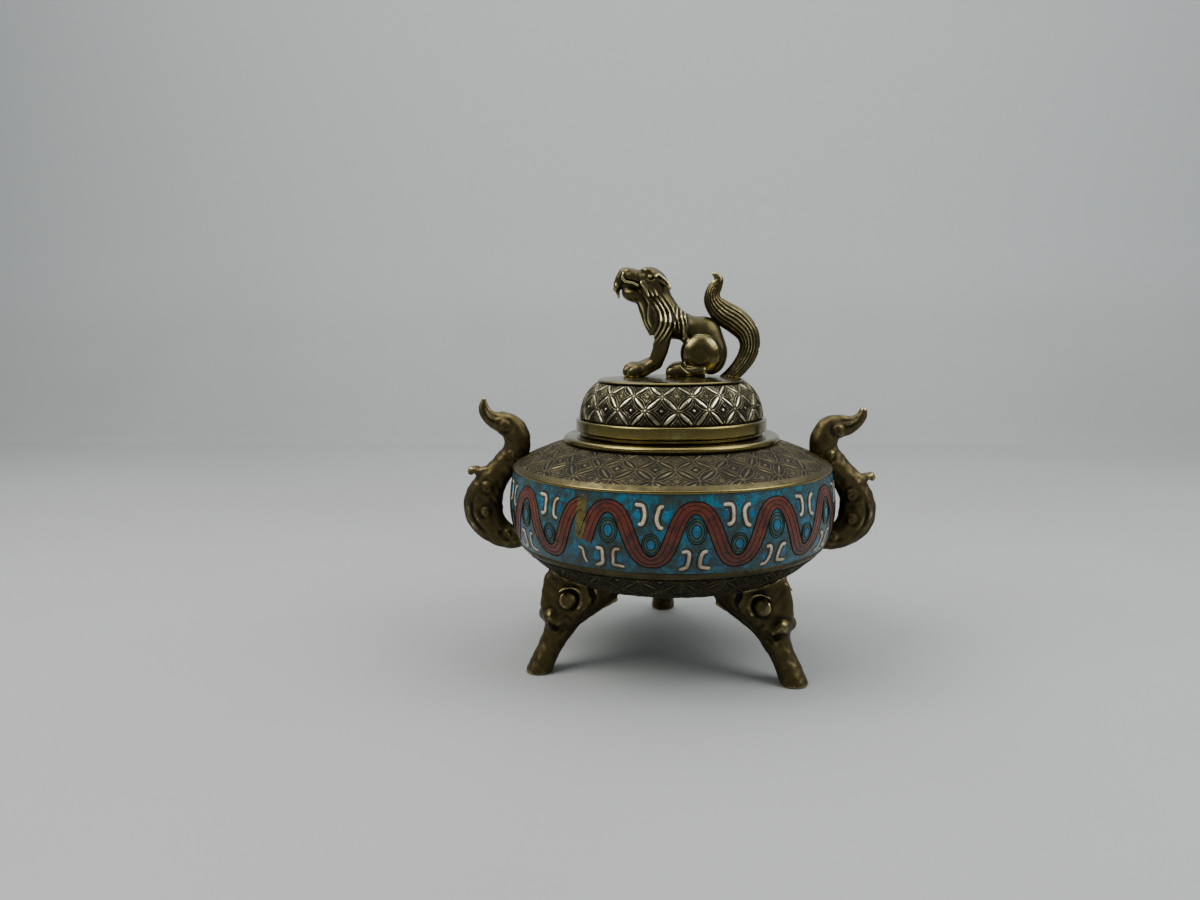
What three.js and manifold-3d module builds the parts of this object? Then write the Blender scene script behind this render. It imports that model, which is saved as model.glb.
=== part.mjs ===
// Small bronze incense burner on three legs, with a band of champleve enamel round its belly,
// two curled handles and a lift-off lid that carries a lion-dog.
// Millimetres, +Z up. Everything is drawn about the bowl's axis, and moved at the end so that the
// origin is under the middle of the overall box, on the surface that the feet stand on.
// Azimuths are in degrees: 0 faces -Y, and +90 faces +X.
import * as THREE from 'three';
import { mergeVertices } from 'three/addons/utils/BufferGeometryUtils.js';
import Module from 'manifold-3d';

const wasm = await Module();
wasm.setup();

// ---- Driving dimensions ----------------------------------------------------------------------
const clearance = 0.3;          // gap between pieces that touch
const roundSides = 40;          // facets round the bowl and the lid
const enamelColumns = 78;       // facets round the enamel, whose edges are wavy

const bellyRadius = 50;
const undersideHeight = 26.5;   // middle of the bowl's underside, above the floor
const footCurveHeight = 10.9;   // from the underside to the lower bead
const bandHeight = 23.3;        // from the lower bead to the upper bead
const shoulderHeight = 6.9;     // from the upper bead to the neck
const upperBeadInset = 1.35;    // how far each bead's face lies inside the belly's radius
const lowerBeadInset = 3.1;
const beadHalfHeight = 0.7;
const wall = 2.6;
const mouthRadius = 27;
const neckWidth = 4.6;          // flat rim round the mouth, under the mouth ring
const shoulderStep = 1.4;       // from the rim out to where the shoulder starts

const enamelDepth = 1.3;        // depth of the recess cut for the enamel
const enamelBedding = 0.5;      // gap left under the enamel, whose back is flatter than the recess
const waveCount = 13;
const seamAzimuth = -24.3;      // where the wave is stretched to close the ring
const seamWidth = 12;
const waveMargin = 1.85;        // from the wave's crests to the recess's edge
const ribbonHalfWidth = 1.55;

const ringWidth = 6.1;          // from the mouth out to the mouth ring's edge
const ringThickness = 2.0;

const lidOverlap = 2.2;         // how far the lid's band reaches out past the mouth
const lidBandHeight = 3.6;
const seatHeight = 0.9;         // the collar that holds the band clear of the mouth ring
const seatOverhang = 1.1;       // how far the collar reaches over the mouth ring
const spigotGap = 0.5;
const spigotWall = 2;
const spigotDepth = 6;
const domeInset = 1.4;          // from the band's face in to the dome
const domeHeight = 10.4;
const domeWall = 2;
const plateInset = 5.4;         // from the dome's foot in to the plate's edge
const plateThickness = 0.9;
const plateCrown = 0.9;         // rise of the plate from its edge to its middle

const legAzimuths = { leg_front_left: -63, leg_front_right: 54, leg_back: 183.5 };
// A handle's reach is out from the belly's radius, and its rise is up to its tip from its waist,
// which sits at the upper bead or a little lower.
const leftHandle = { azimuth: -90, reach: 9.6, rise: 19.8, waistDrop: 0 };
const rightHandle = { azimuth: 90, reach: 7.5, rise: 18.6, waistDrop: 2 };
const handleHalfThickness = 4.2;

const rivetRadius = 0.9;
const rivetHeadRadius = 1.9;
const rivetHeadThickness = 0.9;
const rivetGrip = 4;            // how deep a rivet goes into a handle or a leg

const studRadius = 1.5;
const studPlace = 9;            // the stud stands under the lion-dog's haunches
const studGrip = 4;
const nutRadius = 3.4;
const nutThickness = 2.2;
const washerRadius = 4.4;
const washerThickness = 0.7;
const studTail = 1;

// ---- Radii and levels that follow from them ----------------------------------------------------
const neckRadius = mouthRadius + neckWidth;
const shoulderEndRadius = neckRadius + shoulderStep;
const ringRadius = mouthRadius + ringWidth;
const lidRadius = mouthRadius + lidOverlap;
const domeRadius = lidRadius - domeInset;
const plateRadius = domeRadius - plateInset;
const lowerBeadZ = undersideHeight + footCurveHeight;
const upperBeadZ = lowerBeadZ + bandHeight;
const neckZ = upperBeadZ + shoulderHeight;
const ringZ = neckZ + clearance;
const ringTopZ = ringZ + ringThickness;
const seatZ = ringTopZ + clearance;
const bandZ = seatZ + seatHeight + clearance;
const bandTopZ = bandZ + lidBandHeight;
const domeZ = bandTopZ + clearance;
const domeTopZ = domeZ + domeHeight;
const plateZ = domeTopZ + clearance;
const plateTopZ = plateZ + plateThickness + plateCrown;
const recessLowZ = lowerBeadZ + beadHalfHeight + 0.3;
const recessHighZ = upperBeadZ - beadHalfHeight - 0.1;
const waveAmplitude = (recessHighZ - recessLowZ) / 2 - waveMargin - ribbonHalfWidth;

// ---- Materials ---------------------------------------------------------------------------------
const finish = (color, roughness, metalness) =>
  new THREE.MeshStandardMaterial({ color, roughness, metalness });
const castBronze = finish(0x6f5a32, 0.45, 1);
const darkBronze = finish(0x4b3a22, 0.5, 1);
const polishedBrass = finish(0xa8894a, 0.25, 1);
const turquoise = finish(0x17616f, 0.35, 0);
const brickRed = finish(0x6a2f20, 0.4, 0);

// ---- Solids ------------------------------------------------------------------------------------
// A closed triangle mesh becomes a solid once its shared vertices are merged.
function toSolid(geometry) {
  geometry.deleteAttribute('normal');
  geometry.deleteAttribute('uv');
  const merged = mergeVertices(geometry, 1e-4);
  const index = merged.index.array;
  const corners = [];
  for (let i = 0; i < index.length; i += 3) {
    const [a, b, c] = [index[i], index[i + 1], index[i + 2]];
    if (a !== b && b !== c && c !== a) corners.push(a, b, c);
  }
  const vertProperties = Float32Array.from(merged.attributes.position.array);
  const triVerts = Uint32Array.from(corners);
  return new wasm.Manifold(new wasm.Mesh({ numProp: 3, vertProperties, triVerts }));
}

function cut(solid, ...tools) {
  return tools.reduce((rest, tool) => rest.subtract(tool), solid);
}

function join(first, ...others) {
  return others.reduce((whole, other) => whole.add(other), first);
}

// A ring or cap turned about the Z axis from an outline of [radius, height] pairs, bottom first.
function revolve(outline, sides = roundSides) {
  const points = outline.map(([radius, z]) => new THREE.Vector2(radius, z));
  const geometry = new THREE.LatheGeometry(points, sides);
  return toSolid(geometry.rotateX(Math.PI / 2));
}

function ring(outline) {
  return revolve([...outline, outline[0]]);
}

// Skins a row of sections that all have the same number of points. The row closes on itself,
// or its two ends are capped.
function skin(sections, closed) {
  const count = sections[0].length;
  const positions = sections.flatMap((section) => section.flatMap((point) => point.toArray()));
  const index = [];
  const lastSpan = closed ? sections.length : sections.length - 1;
  for (let s = 0; s < lastSpan; s++) {
    const here = s * count;
    const next = ((s + 1) % sections.length) * count;
    for (let i = 0; i < count; i++) {
      const j = (i + 1) % count;
      index.push(here + i, here + j, next + j, here + i, next + j, next + i);
    }
  }
  if (!closed) {
    const end = (sections.length - 1) * count;
    for (let i = 1; i < count - 1; i++) {
      index.push(0, i + 1, i, end, end + i, end + i + 1);
    }
  }
  const geometry = new THREE.BufferGeometry();
  geometry.setAttribute('position', new THREE.Float32BufferAttribute(positions, 3));
  geometry.setIndex(index);
  return toSolid(geometry);
}

// A rounded bar along a path in the XZ plane. Each stop is [x, z, half width, half thickness].
function bar(stops, { sides = 10, steps = 3, y = 0 } = {}) {
  const centres = new THREE.CatmullRomCurve3(stops.map(([x, z]) => new THREE.Vector3(x, y, z)));
  const sizes = new THREE.CatmullRomCurve3(
    stops.map(([, , width, thickness]) => new THREE.Vector3(width, thickness, 0)));
  const spans = (stops.length - 1) * steps;
  const sections = [];
  for (let s = 0; s <= spans; s++) {
    const t = s / spans;
    const centre = centres.getPoint(t);
    const size = sizes.getPoint(t);
    const along = centres.getTangent(t);
    const across = new THREE.Vector3(along.z, 0, -along.x);
    const section = [];
    for (let i = 0; i < sides; i++) {
      const turn = (2 * Math.PI * i) / sides;
      const point = centre.clone().addScaledVector(across, size.x * Math.cos(turn));
      point.y += size.y * Math.sin(turn);
      section.push(point);
    }
    sections.push(section);
  }
  return skin(sections, false);
}

function ellipsoid([x, y, z], [rx, ry, rz], tilt = 0) {
  const geometry = new THREE.IcosahedronGeometry(1, 2);
  geometry.scale(rx, ry, rz).rotateY(THREE.MathUtils.degToRad(tilt)).translate(x, y, z);
  return toSolid(geometry);
}

// A plain pin along +Z, from one height to another.
function pin(radius, fromZ, toZ, sides = 12) {
  const outline = [[0, fromZ], [radius, fromZ], [radius, toZ], [0, toZ]];
  return revolve(outline, sides);
}

const direction = (azimuth) => {
  const angle = THREE.MathUtils.degToRad(azimuth);
  return new THREE.Vector3(Math.sin(angle), -Math.cos(angle), 0);
};

// Turns a solid that was drawn along +X to another azimuth.
const turned = (solid, azimuth) => solid.rotate([0, 0, azimuth - 90]);

// ---- Bowl --------------------------------------------------------------------------------------
// The belly is an arc that bulges between its two beads.
function bellyRadiusAt(z) {
  const share = (z - lowerBeadZ) / bandHeight;
  const inset = lowerBeadInset + (upperBeadInset - lowerBeadInset) * share;
  return bellyRadius - inset + 4 * (inset + 0.03) * share * (1 - share);
}

// Underside, foot curve and shoulder, from the axis outwards and from the bead inwards.
function undersideOutline() {
  const edge = bellyRadius - lowerBeadInset;
  return [
    [0, undersideHeight],
    [edge - 16.9, undersideHeight + 0.7],
    [edge - 12.9, undersideHeight + 1.5],
    [edge - 10.4, undersideHeight + 2.5],
    [edge - 7.9, undersideHeight + 4.0],
    [edge - 5.4, undersideHeight + 5.8],
    [edge - 3.6, undersideHeight + 7.5],
    [edge - 1.2, lowerBeadZ - 2 * beadHalfHeight],
  ];
}

function shoulderOutline() {
  const start = new THREE.Vector2(bellyRadius - upperBeadInset - 0.3, upperBeadZ + beadHalfHeight);
  const end = new THREE.Vector2(shoulderEndRadius, neckZ);
  const bend = new THREE.Vector2(
    end.x + 0.58 * (start.x - end.x), neckZ - 0.42 * shoulderHeight);
  const arc = new THREE.QuadraticBezierCurve(start, bend, end);
  return arc.getPoints(5).map((point) => [point.x, point.y]);
}

// The bowl's outer face without its recess, moved out by a gap so that what is fixed to the
// bowl can be cut to its shape.
function bowlEnvelope(gap) {
  const grow = ([radius, z], up) => [radius > 0 ? radius + gap : 0, z + up];
  const belly = [0, 0.2, 0.4, 0.6, 0.8, 1].map((share) => {
    const z = lowerBeadZ + share * bandHeight;
    return [bellyRadiusAt(z), z];
  });
  return revolve([
    ...undersideOutline().map((point) => grow(point, -gap)),
    ...belly.map((point) => grow(point, 0)),
    ...shoulderOutline().map((point) => grow(point, gap)),
    [0, neckZ + gap],
  ]);
}

// The inside of the bowl, from the mouth down to the middle of the floor.
function insideOutline() {
  const shoulderBend = shoulderEndRadius + 0.55 * (bellyRadius - shoulderEndRadius);
  const floorEdge = bellyRadius - lowerBeadInset - wall;
  const side = [0.08, 0.3, 0.55, 0.8, 1].map((share) => {
    const z = upperBeadZ - share * bandHeight;
    return [bellyRadiusAt(z) - wall - enamelDepth, z];
  });
  return [
    [mouthRadius, neckZ - wall],
    [shoulderEndRadius, neckZ - wall - 0.6],
    [shoulderBend, upperBeadZ + 0.12 * shoulderHeight],
    ...side,
    [floorEdge - 5.4, undersideHeight + wall + 3.9],
    [floorEdge - 10, undersideHeight + wall + 1.6],
    [0, undersideHeight + wall],
  ];
}

// Reads one coordinate of an outline where the other has a given value.
function readOutline(outline, value, known, wanted) {
  const ends = outline.slice(1).map((to, i) => [outline[i], to]);
  const [from, to] = ends.find(([a, b]) => (a[known] - value) * (b[known] - value) <= 0);
  const share = (value - from[known]) / (to[known] - from[known]);
  return from[wanted] + share * (to[wanted] - from[wanted]);
}

const insideRadiusAt = (z) => readOutline(insideOutline(), z, 1, 0);
const floorHeightAt = (radius) => readOutline(insideOutline().reverse(), radius, 0, 1);

function bowlBlank() {
  const recess = [0, 0.25, 0.5, 0.75, 1].map((share) => {
    const z = recessLowZ + share * (recessHighZ - recessLowZ);
    return [bellyRadiusAt(z) - enamelDepth, z];
  });
  return revolve([
    ...undersideOutline(),
    [bellyRadiusAt(lowerBeadZ), lowerBeadZ],
    [bellyRadiusAt(recessLowZ), recessLowZ],
    ...recess,
    [bellyRadiusAt(recessHighZ), recessHighZ],
    [bellyRadiusAt(upperBeadZ), upperBeadZ],
    ...shoulderOutline(),
    [neckRadius, neckZ],
    [mouthRadius, neckZ],
    ...insideOutline(),
  ]);
}

// ---- Rivets ------------------------------------------------------------------------------------
// Each rivet has a peened head inside the bowl and a shank that ends in the piece it holds.
// It is drawn pointing down from its head at z = 0, and then put in place.
function rivet(shankLength, gap) {
  if (gap > 0) return pin(rivetRadius + gap, -shankLength - gap, gap, 10);
  return revolve([
    [0, -shankLength], [rivetRadius, -shankLength], [rivetRadius, 0], [rivetHeadRadius, 0],
    [0.8 * rivetHeadRadius, 0.7 * rivetHeadThickness], [0, rivetHeadThickness],
  ], 10);
}

// Where a handle's rivets go through the wall, as heights.
const handleRivetLevels = {
  upper: upperBeadZ + 1.3,
  lower: lowerBeadZ - beadHalfHeight - 1.4,
};
const legRivetRadius = bellyRadius - lowerBeadInset - 11;

function handleRivet(azimuth, level, gap) {
  const edges = [level - rivetHeadRadius, level + rivetHeadRadius];
  const inside = Math.min(...edges.map(insideRadiusAt)) - clearance;
  const length = bellyRadius - upperBeadInset + rivetGrip - inside;
  return turned(rivet(length, gap).rotate([0, -90, 0]).translate([inside, 0, level]), azimuth);
}

function legRivet(azimuth, gap) {
  const inside = floorHeightAt(legRivetRadius + rivetHeadRadius) + clearance;
  const length = inside - undersideHeight + rivetGrip;
  return turned(rivet(length, gap).translate([legRivetRadius, 0, inside]), azimuth);
}

const handles = { left: leftHandle, right: rightHandle };
const rivetPlaces = [];
for (const [side, { azimuth }] of Object.entries(handles)) {
  for (const [level, z] of Object.entries(handleRivetLevels)) {
    const make = (gap) => handleRivet(azimuth, z, gap);
    rivetPlaces.push({ name: `rivet_handle_${side}_${level}`, make });
  }
}
for (const [leg, azimuth] of Object.entries(legAzimuths)) {
  rivetPlaces.push({ name: `rivet_${leg}`, make: (gap) => legRivet(azimuth, gap) });
}
const rivetHoles = rivetPlaces.map(({ make }) => make(clearance));

// ---- Enamel ------------------------------------------------------------------------------------
// Height of the middle of the wave, and how steep it is there, at an azimuth.
function waveAt(azimuth) {
  const fromSeam = (azimuth - seamAzimuth + 720) % 360;
  const period = (360 - seamWidth) / waveCount;
  const past = Math.min(Math.max(fromSeam - seamWidth / 2, 0), 360 - seamWidth);
  const phase = (2 * Math.PI * past) / period;
  const middle = (recessLowZ + recessHighZ) / 2;
  const wavelength = (2 * Math.PI * bellyRadius * period) / 360;
  const slope = (2 * Math.PI * waveAmplitude * Math.sin(phase)) / wavelength;
  return { z: middle + waveAmplitude * Math.cos(phase), stretch: Math.hypot(1, slope) };
}

// A closed ring of enamel between two wavy edges, as deep as the recess less its bedding.
function enamelRing(lowEdge, highEdge) {
  const sections = [];
  for (let column = 0; column < enamelColumns; column++) {
    const azimuth = (360 * column) / enamelColumns;
    const [low, high] = [lowEdge(azimuth), highEdge(azimuth)];
    const outward = direction(azimuth);
    const at = (share, depth) => {
      const z = low + share * (high - low);
      return outward.clone().multiplyScalar(bellyRadiusAt(z) - depth).setZ(z);
    };
    const shares = [0, 1 / 3, 2 / 3, 1];
    const back = shares.map((share) => at(share, enamelDepth - enamelBedding));
    const face = shares.map((share) => at(share, 0)).reverse();
    sections.push([...back, ...face]);
  }
  return skin(sections, true);
}

const ribbonEdge = (azimuth, side) => {
  const { z, stretch } = waveAt(azimuth);
  return z + side * ribbonHalfWidth * stretch;
};
const groundEdge = (azimuth, side) => {
  const { z, stretch } = waveAt(azimuth);
  return z + side * (ribbonHalfWidth + clearance) * stretch;
};

// ---- Handles and legs --------------------------------------------------------------------------
// A handle follows an S from the foot curve, round a bulge, in over the shoulder and out to its
// tip. Places are [share of the reach, share of the band's height, half width, share of the
// half thickness]; above the upper bead, the second is a share of the handle's rise.
const handleLow = [
  [-0.38, -0.03, 3.4, 0.75], [0.1, -0.04, 4.0, 0.85], [0.52, 0.01, 4.7, 0.95],
  [0.83, 0.12, 5.6, 1], [0.98, 0.26, 6.2, 1.05], [1, 0.41, 6.3, 1.05], [0.86, 0.58, 5.8, 1],
  [0.62, 0.76, 5.0, 0.95], [0.3, 0.9, 4.3, 0.9],
];
const handleHigh = [
  [-0.02, 0.03, 4.1, 0.9], [-0.2, 0.21, 4.1, 0.85], [-0.22, 0.37, 4.2, 0.8],
  [-0.06, 0.53, 3.9, 0.75], [0.3, 0.62, 3.1, 0.65], [0.66, 0.69, 2.6, 0.55],
  [0.87, 0.83, 1.6, 0.4], [0.89, 0.98, 0.7, 0.2],
];
const handleSpur = [[0.75, 0.72, 3.2, 0.7], [1.1, 0.86, 2.0, 0.45], [1.37, 0.93, 0.6, 0.15]];

function handle({ azimuth, reach, rise, waistDrop }) {
  const place = ([out, share, width, thick], base, span) =>
    [bellyRadius + out * reach, base + share * span, width, thick * handleHalfThickness];
  const low = handleLow.map((stop) => place(stop, lowerBeadZ, bandHeight - waistDrop));
  const high = handleHigh.map((stop) => place(stop, upperBeadZ - waistDrop, rise));
  const spur = handleSpur.map((stop) => place(stop, lowerBeadZ, bandHeight - waistDrop));
  const whole = join(bar([...low, ...high], { steps: 2 }), bar(spur, { sides: 8, steps: 1 }));
  return cut(turned(whole, azimuth), bowlEnvelope(clearance), ...rivetHoles);
}

// A leg is an elephant's head whose trunk is the column. Its sections are level, each
// [share of the underside's height, inner edge, outer edge, half width], the edges measured
// from the belly's radius.
const legSections = [
  [0, -10.0, -2.8, 4.0], [0.21, -12.6, -4.4, 3.8], [0.45, -17.4, -7.6, 3.9],
  [0.577, -20.8, -8.2, 4.6], [0.657, -23.2, -6.4, 5.6], [0.755, -25.5, -7.4, 7.0],
  [0.94, -28.5, -8.2, 9.0], [1.28, -29, -8.8, 10.5],
];

function leg(azimuth) {
  const sections = legSections.map(([share, inner, outer, halfWidth]) => {
    const middle = bellyRadius + (inner + outer) / 2;
    const reach = (outer - inner) / 2;
    const section = [];
    for (let i = 0; i < 14; i++) {
      const turn = (2 * Math.PI * i) / 14;
      const x = middle + reach * Math.cos(turn);
      section.push(new THREE.Vector3(x, halfWidth * Math.sin(turn), share * undersideHeight));
    }
    return section;
  });
  return cut(turned(skin(sections, false), azimuth), bowlEnvelope(clearance), ...rivetHoles);
}

// ---- Lid ---------------------------------------------------------------------------------------
const mouthRing = () => ring([
  [mouthRadius, ringZ],
  [ringRadius - 0.5, ringZ],
  [ringRadius, ringZ + 0.3 * ringThickness],
  [ringRadius, ringZ + 0.7 * ringThickness],
  [ringRadius - 0.6, ringTopZ],
  [mouthRadius, ringTopZ],
]);

const lidSeat = () => {
  const outer = mouthRadius - spigotGap;
  const inner = outer - spigotWall;
  return ring([
    [inner, seatZ - spigotDepth],
    [outer, seatZ - spigotDepth],
    [outer, seatZ],
    [mouthRadius + seatOverhang, seatZ],
    [mouthRadius + seatOverhang, seatZ + seatHeight],
    [inner, seatZ + seatHeight],
  ]);
};

const lidBand = () => ring([
  [lidRadius - 3.4, bandZ],
  [lidRadius - 0.2, bandZ],
  [lidRadius, bandZ + 0.25],
  [lidRadius, bandTopZ - 0.3],
  [lidRadius - 0.3, bandTopZ],
  [lidRadius - 3.4, bandTopZ],
]);

function domeOutline(inset) {
  const low = new THREE.Vector2(domeRadius - inset, domeZ);
  const high = new THREE.Vector2(plateRadius - inset, domeTopZ - inset);
  const bend = new THREE.Vector2(low.x - 0.4, domeZ + 0.7 * (high.y - domeZ));
  return new THREE.QuadraticBezierCurve(low, bend, high).getPoints(5).map((p) => [p.x, p.y]);
}

function lidDome() {
  const inside = domeOutline(domeWall).reverse();
  const solid = revolve([
    [0, domeTopZ - domeWall], ...inside, ...domeOutline(0), [0, domeTopZ],
  ]);
  return cut(solid, studHole);
}

function lidPlate() {
  const crownSteps = [1, 0.75, 0.5, 0.25, 0].map((share) =>
    [plateRadius * share, plateZ + plateThickness + plateCrown * (1 - share * share)]);
  return cut(revolve([[0, plateZ], [plateRadius, plateZ], ...crownSteps]), studHole);
}

// ---- Lion-dog and what holds it ----------------------------------------------------------------
const studTopZ = plateTopZ + clearance + studGrip;
const studBottomZ = domeTopZ - domeWall - washerThickness - nutThickness - 2 * clearance - studTail;
const studHole = pin(studRadius + clearance, studBottomZ - 1, studTopZ + clearance)
  .translate([studPlace, 0, 0]);

const stud = () => pin(studRadius, studBottomZ, studTopZ).translate([studPlace, 0, 0]);

function clampRing(radius, thickness, topZ, sides) {
  const disc = pin(radius, topZ - thickness, topZ, sides).translate([studPlace, 0, 0]);
  return cut(disc, studHole);
}

const washerTopZ = domeTopZ - domeWall - clearance;
const washer = () => clampRing(washerRadius, washerThickness, washerTopZ, 20);
const nut = () => clampRing(nutRadius, nutThickness, washerTopZ - washerThickness - clearance, 6);

// The lion-dog sits on its haunches on the plate, facing -X with its head raised.
function lionDog() {
  const floor = plateTopZ + clearance;
  const up = (height) => floor + height;
  const torso = ellipsoid([1.5, 0, up(13)], [9.5, 5.2, 5.6], 24);
  const chest = ellipsoid([-3, 0, up(17)], [5.8, 5.4, 8], -18);
  const head = ellipsoid([-7.5, 0, up(26.5)], [6.4, 5, 5.4], 20);
  const muzzle = ellipsoid([-13, 0, up(28)], [4, 3.2, 3.2], 30);
  const jaw = ellipsoid([-11.6, 0, up(23.8)], [3.8, 2.6, 1.8], 20);
  const rump = ellipsoid([10, 0, up(6)], [7.4, 5.8, 6.6], 0);
  const limbs = [-1, 1].flatMap((side) => [
    ellipsoid([9.8, 3.6 * side, up(6.8)], [7.2, 3.4, 6.2], 0),
    ellipsoid([3.4, 5.4 * side, up(1.9)], [5.2, 2.2, 1.9], 0),
    bar([[-3.4, up(16), 2.8, 2.4], [-2.8, up(9), 2.2, 2], [-4.6, up(2), 1.9, 1.8]],
      { sides: 8, steps: 2, y: 3.2 * side }),
    ellipsoid([-8, 3.6 * side, up(1.9)], [4.6, 2.3, 1.9], 0),
  ]);
  const below = pin(60, floor - 20, floor, 8);
  return cut(join(torso, chest, head, muzzle, jaw, rump, ...limbs), below, studHole);
}

// The tail is a broad plume that stands behind the haunches: [x, height, half width, half thickness].
function lionTail() {
  const floor = plateTopZ + clearance;
  const plume = bar([
    [20.4, -1, 2.3, 1.8], [21.4, 2.2, 2.5, 2.1], [23.4, 6.4, 2.9, 2.3], [23.3, 10.6, 3.5, 2.4],
    [20.6, 15, 4.1, 2.4], [16.2, 17.9, 3.9, 2.3], [12.9, 21.6, 2.7, 1.9], [12.3, 25.2, 2.1, 1.5],
    [13.3, 28, 1.5, 1.1], [12, 30.2, 0.5, 0.5],
  ].map(([x, height, width, thickness]) => [x, floor + height, width, thickness]), { steps: 2 });
  return cut(plume, pin(60, floor - 20, floor, 8));
}

// ---- Assembly ----------------------------------------------------------------------------------
const burner = new THREE.Group();

function place(name, solid, material) {
  const { vertProperties, triVerts } = solid.getMesh();
  const geometry = new THREE.BufferGeometry();
  geometry.setAttribute('position', new THREE.Float32BufferAttribute(vertProperties, 3));
  geometry.setIndex(Array.from(triVerts));
  geometry.computeVertexNormals();
  const mesh = new THREE.Mesh(geometry, material);
  mesh.name = name;
  burner.add(mesh);
}

place('bowl', cut(bowlBlank(), ...rivetHoles), castBronze);
place('mouth_ring', mouthRing(), polishedBrass);
place('enamel_ground_upper', enamelRing(
  (azimuth) => groundEdge(azimuth, 1), () => recessHighZ - clearance), turquoise);
place('enamel_wave', enamelRing(
  (azimuth) => ribbonEdge(azimuth, -1), (azimuth) => ribbonEdge(azimuth, 1)), brickRed);
place('enamel_ground_lower', enamelRing(
  () => recessLowZ + clearance, (azimuth) => groundEdge(azimuth, -1)), turquoise);
for (const [side, shape] of Object.entries(handles)) {
  place(`handle_${side}`, handle(shape), darkBronze);
}
for (const [name, azimuth] of Object.entries(legAzimuths)) {
  place(name, leg(azimuth), darkBronze);
}
for (const { name, make } of rivetPlaces) {
  place(name, make(0), darkBronze);
}
place('lid_seat', lidSeat(), polishedBrass);
place('lid_band', lidBand(), polishedBrass);
place('lid_dome', lidDome(), castBronze);
place('lid_plate', lidPlate(), polishedBrass);
place('lion_dog', lionDog(), castBronze);
place('lion_dog_tail', lionTail(), castBronze);
place('finial_stud', stud(), polishedBrass);
place('finial_washer', washer(), polishedBrass);
place('finial_nut', nut(), polishedBrass);

// The handles reach out by different amounts, so the box's middle is a little off the axis.
const middle = new THREE.Box3().setFromObject(burner).getCenter(new THREE.Vector3());
for (const { geometry } of burner.children) geometry.translate(-middle.x, 0, 0);

export default burner;
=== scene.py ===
"""Visual model of a small three-legged bronze incense burner with champleve enamel.

Shapes are worked out in millimetres about the bowl's axis, from floor level, with +Z up and the
camera on the -Y side. Azimuths are in degrees: 0 faces the camera and +90 faces +X.
"""

import math

import bpy
import numpy as np
from mathutils import Matrix, Vector


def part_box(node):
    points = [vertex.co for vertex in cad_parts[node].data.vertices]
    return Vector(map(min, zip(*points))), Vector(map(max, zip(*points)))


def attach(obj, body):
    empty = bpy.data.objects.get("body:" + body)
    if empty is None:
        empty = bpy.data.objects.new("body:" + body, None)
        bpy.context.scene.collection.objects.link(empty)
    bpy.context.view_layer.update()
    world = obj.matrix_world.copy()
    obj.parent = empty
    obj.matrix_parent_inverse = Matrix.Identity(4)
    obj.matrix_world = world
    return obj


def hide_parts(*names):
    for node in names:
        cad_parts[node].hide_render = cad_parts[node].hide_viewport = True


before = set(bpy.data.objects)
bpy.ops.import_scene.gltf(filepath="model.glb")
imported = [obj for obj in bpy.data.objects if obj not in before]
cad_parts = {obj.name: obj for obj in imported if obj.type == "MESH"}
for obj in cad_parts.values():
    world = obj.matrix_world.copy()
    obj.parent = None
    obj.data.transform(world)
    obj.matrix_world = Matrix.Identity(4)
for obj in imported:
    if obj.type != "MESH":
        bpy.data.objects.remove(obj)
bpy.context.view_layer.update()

MM = 0.001
TAU = 2 * math.pi
ring_low, ring_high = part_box("mouth_ring")
AXIS = Vector(((ring_low.x + ring_high.x) / 2, 0, 0)) / MM     # the bowl's axis in the frame


# ---- Camera ----------------------------------------------------------
CAMERA_PLACE = Vector((0, -277.8, 103.9))
CAMERA_YAW = math.radians(-4.53)
CAMERA_PITCH = math.radians(-8.02)
CAMERA_ROLL = math.radians(-0.51)
LENS = 27
SENSOR_WIDTH = 36


def add_camera():
    forward = Vector((math.sin(CAMERA_YAW) * math.cos(CAMERA_PITCH),
                      math.cos(CAMERA_YAW) * math.cos(CAMERA_PITCH), math.sin(CAMERA_PITCH)))
    level_right = Vector((math.cos(CAMERA_YAW), -math.sin(CAMERA_YAW), 0))
    level_up = level_right.cross(forward)
    right = level_right * math.cos(CAMERA_ROLL) + level_up * math.sin(CAMERA_ROLL)
    up = level_up * math.cos(CAMERA_ROLL) - level_right * math.sin(CAMERA_ROLL)
    data = bpy.data.cameras.new("camera")
    data.lens = LENS
    data.sensor_width = SENSOR_WIDTH
    data.clip_start = 0.01
    camera = bpy.data.objects.new("camera", data)
    bpy.context.scene.collection.objects.link(camera)
    turn = Matrix((right, up, -forward)).transposed()
    camera.matrix_world = Matrix.Translation((CAMERA_PLACE + AXIS) * MM) @ turn.to_4x4()
    bpy.context.scene.camera = camera


add_camera()


# ---- Shape of the burner, as in the CAD ------------------------------
BELLY_RADIUS = 50
MOUTH_RADIUS = 27
FLOOR_Z = 26.5              # underside of the bowl, at its middle
LOWER_BEAD_Z = 37.4
UPPER_BEAD_Z = 60.7
SHOULDER_Z = 61.4           # where the shoulder starts, above the upper bead
NECK_Z = 67.6
BAND_HEIGHT = UPPER_BEAD_Z - LOWER_BEAD_Z
UPPER_INSET = 1.35
LOWER_INSET = 3.1
BELLY_SWELL = 0.03          # how far the middle of the band stands out past the belly's radius
SEAM_AZIMUTH = -26.0        # where the wave's two ends meet
SEAM_WIDTH = 9
WAVE_COUNT = 13
WAVE_PERIOD = (360 - SEAM_WIDTH) / WAVE_COUNT
FIRST_CREST = -19.4         # azimuth
WAVE_MIDDLE = 49.15
WAVE_AMPLITUDE = 7.35
WAVE_FULLNESS = 1.15        # how round the lobes are; near 0 it is a plain sine


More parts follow.
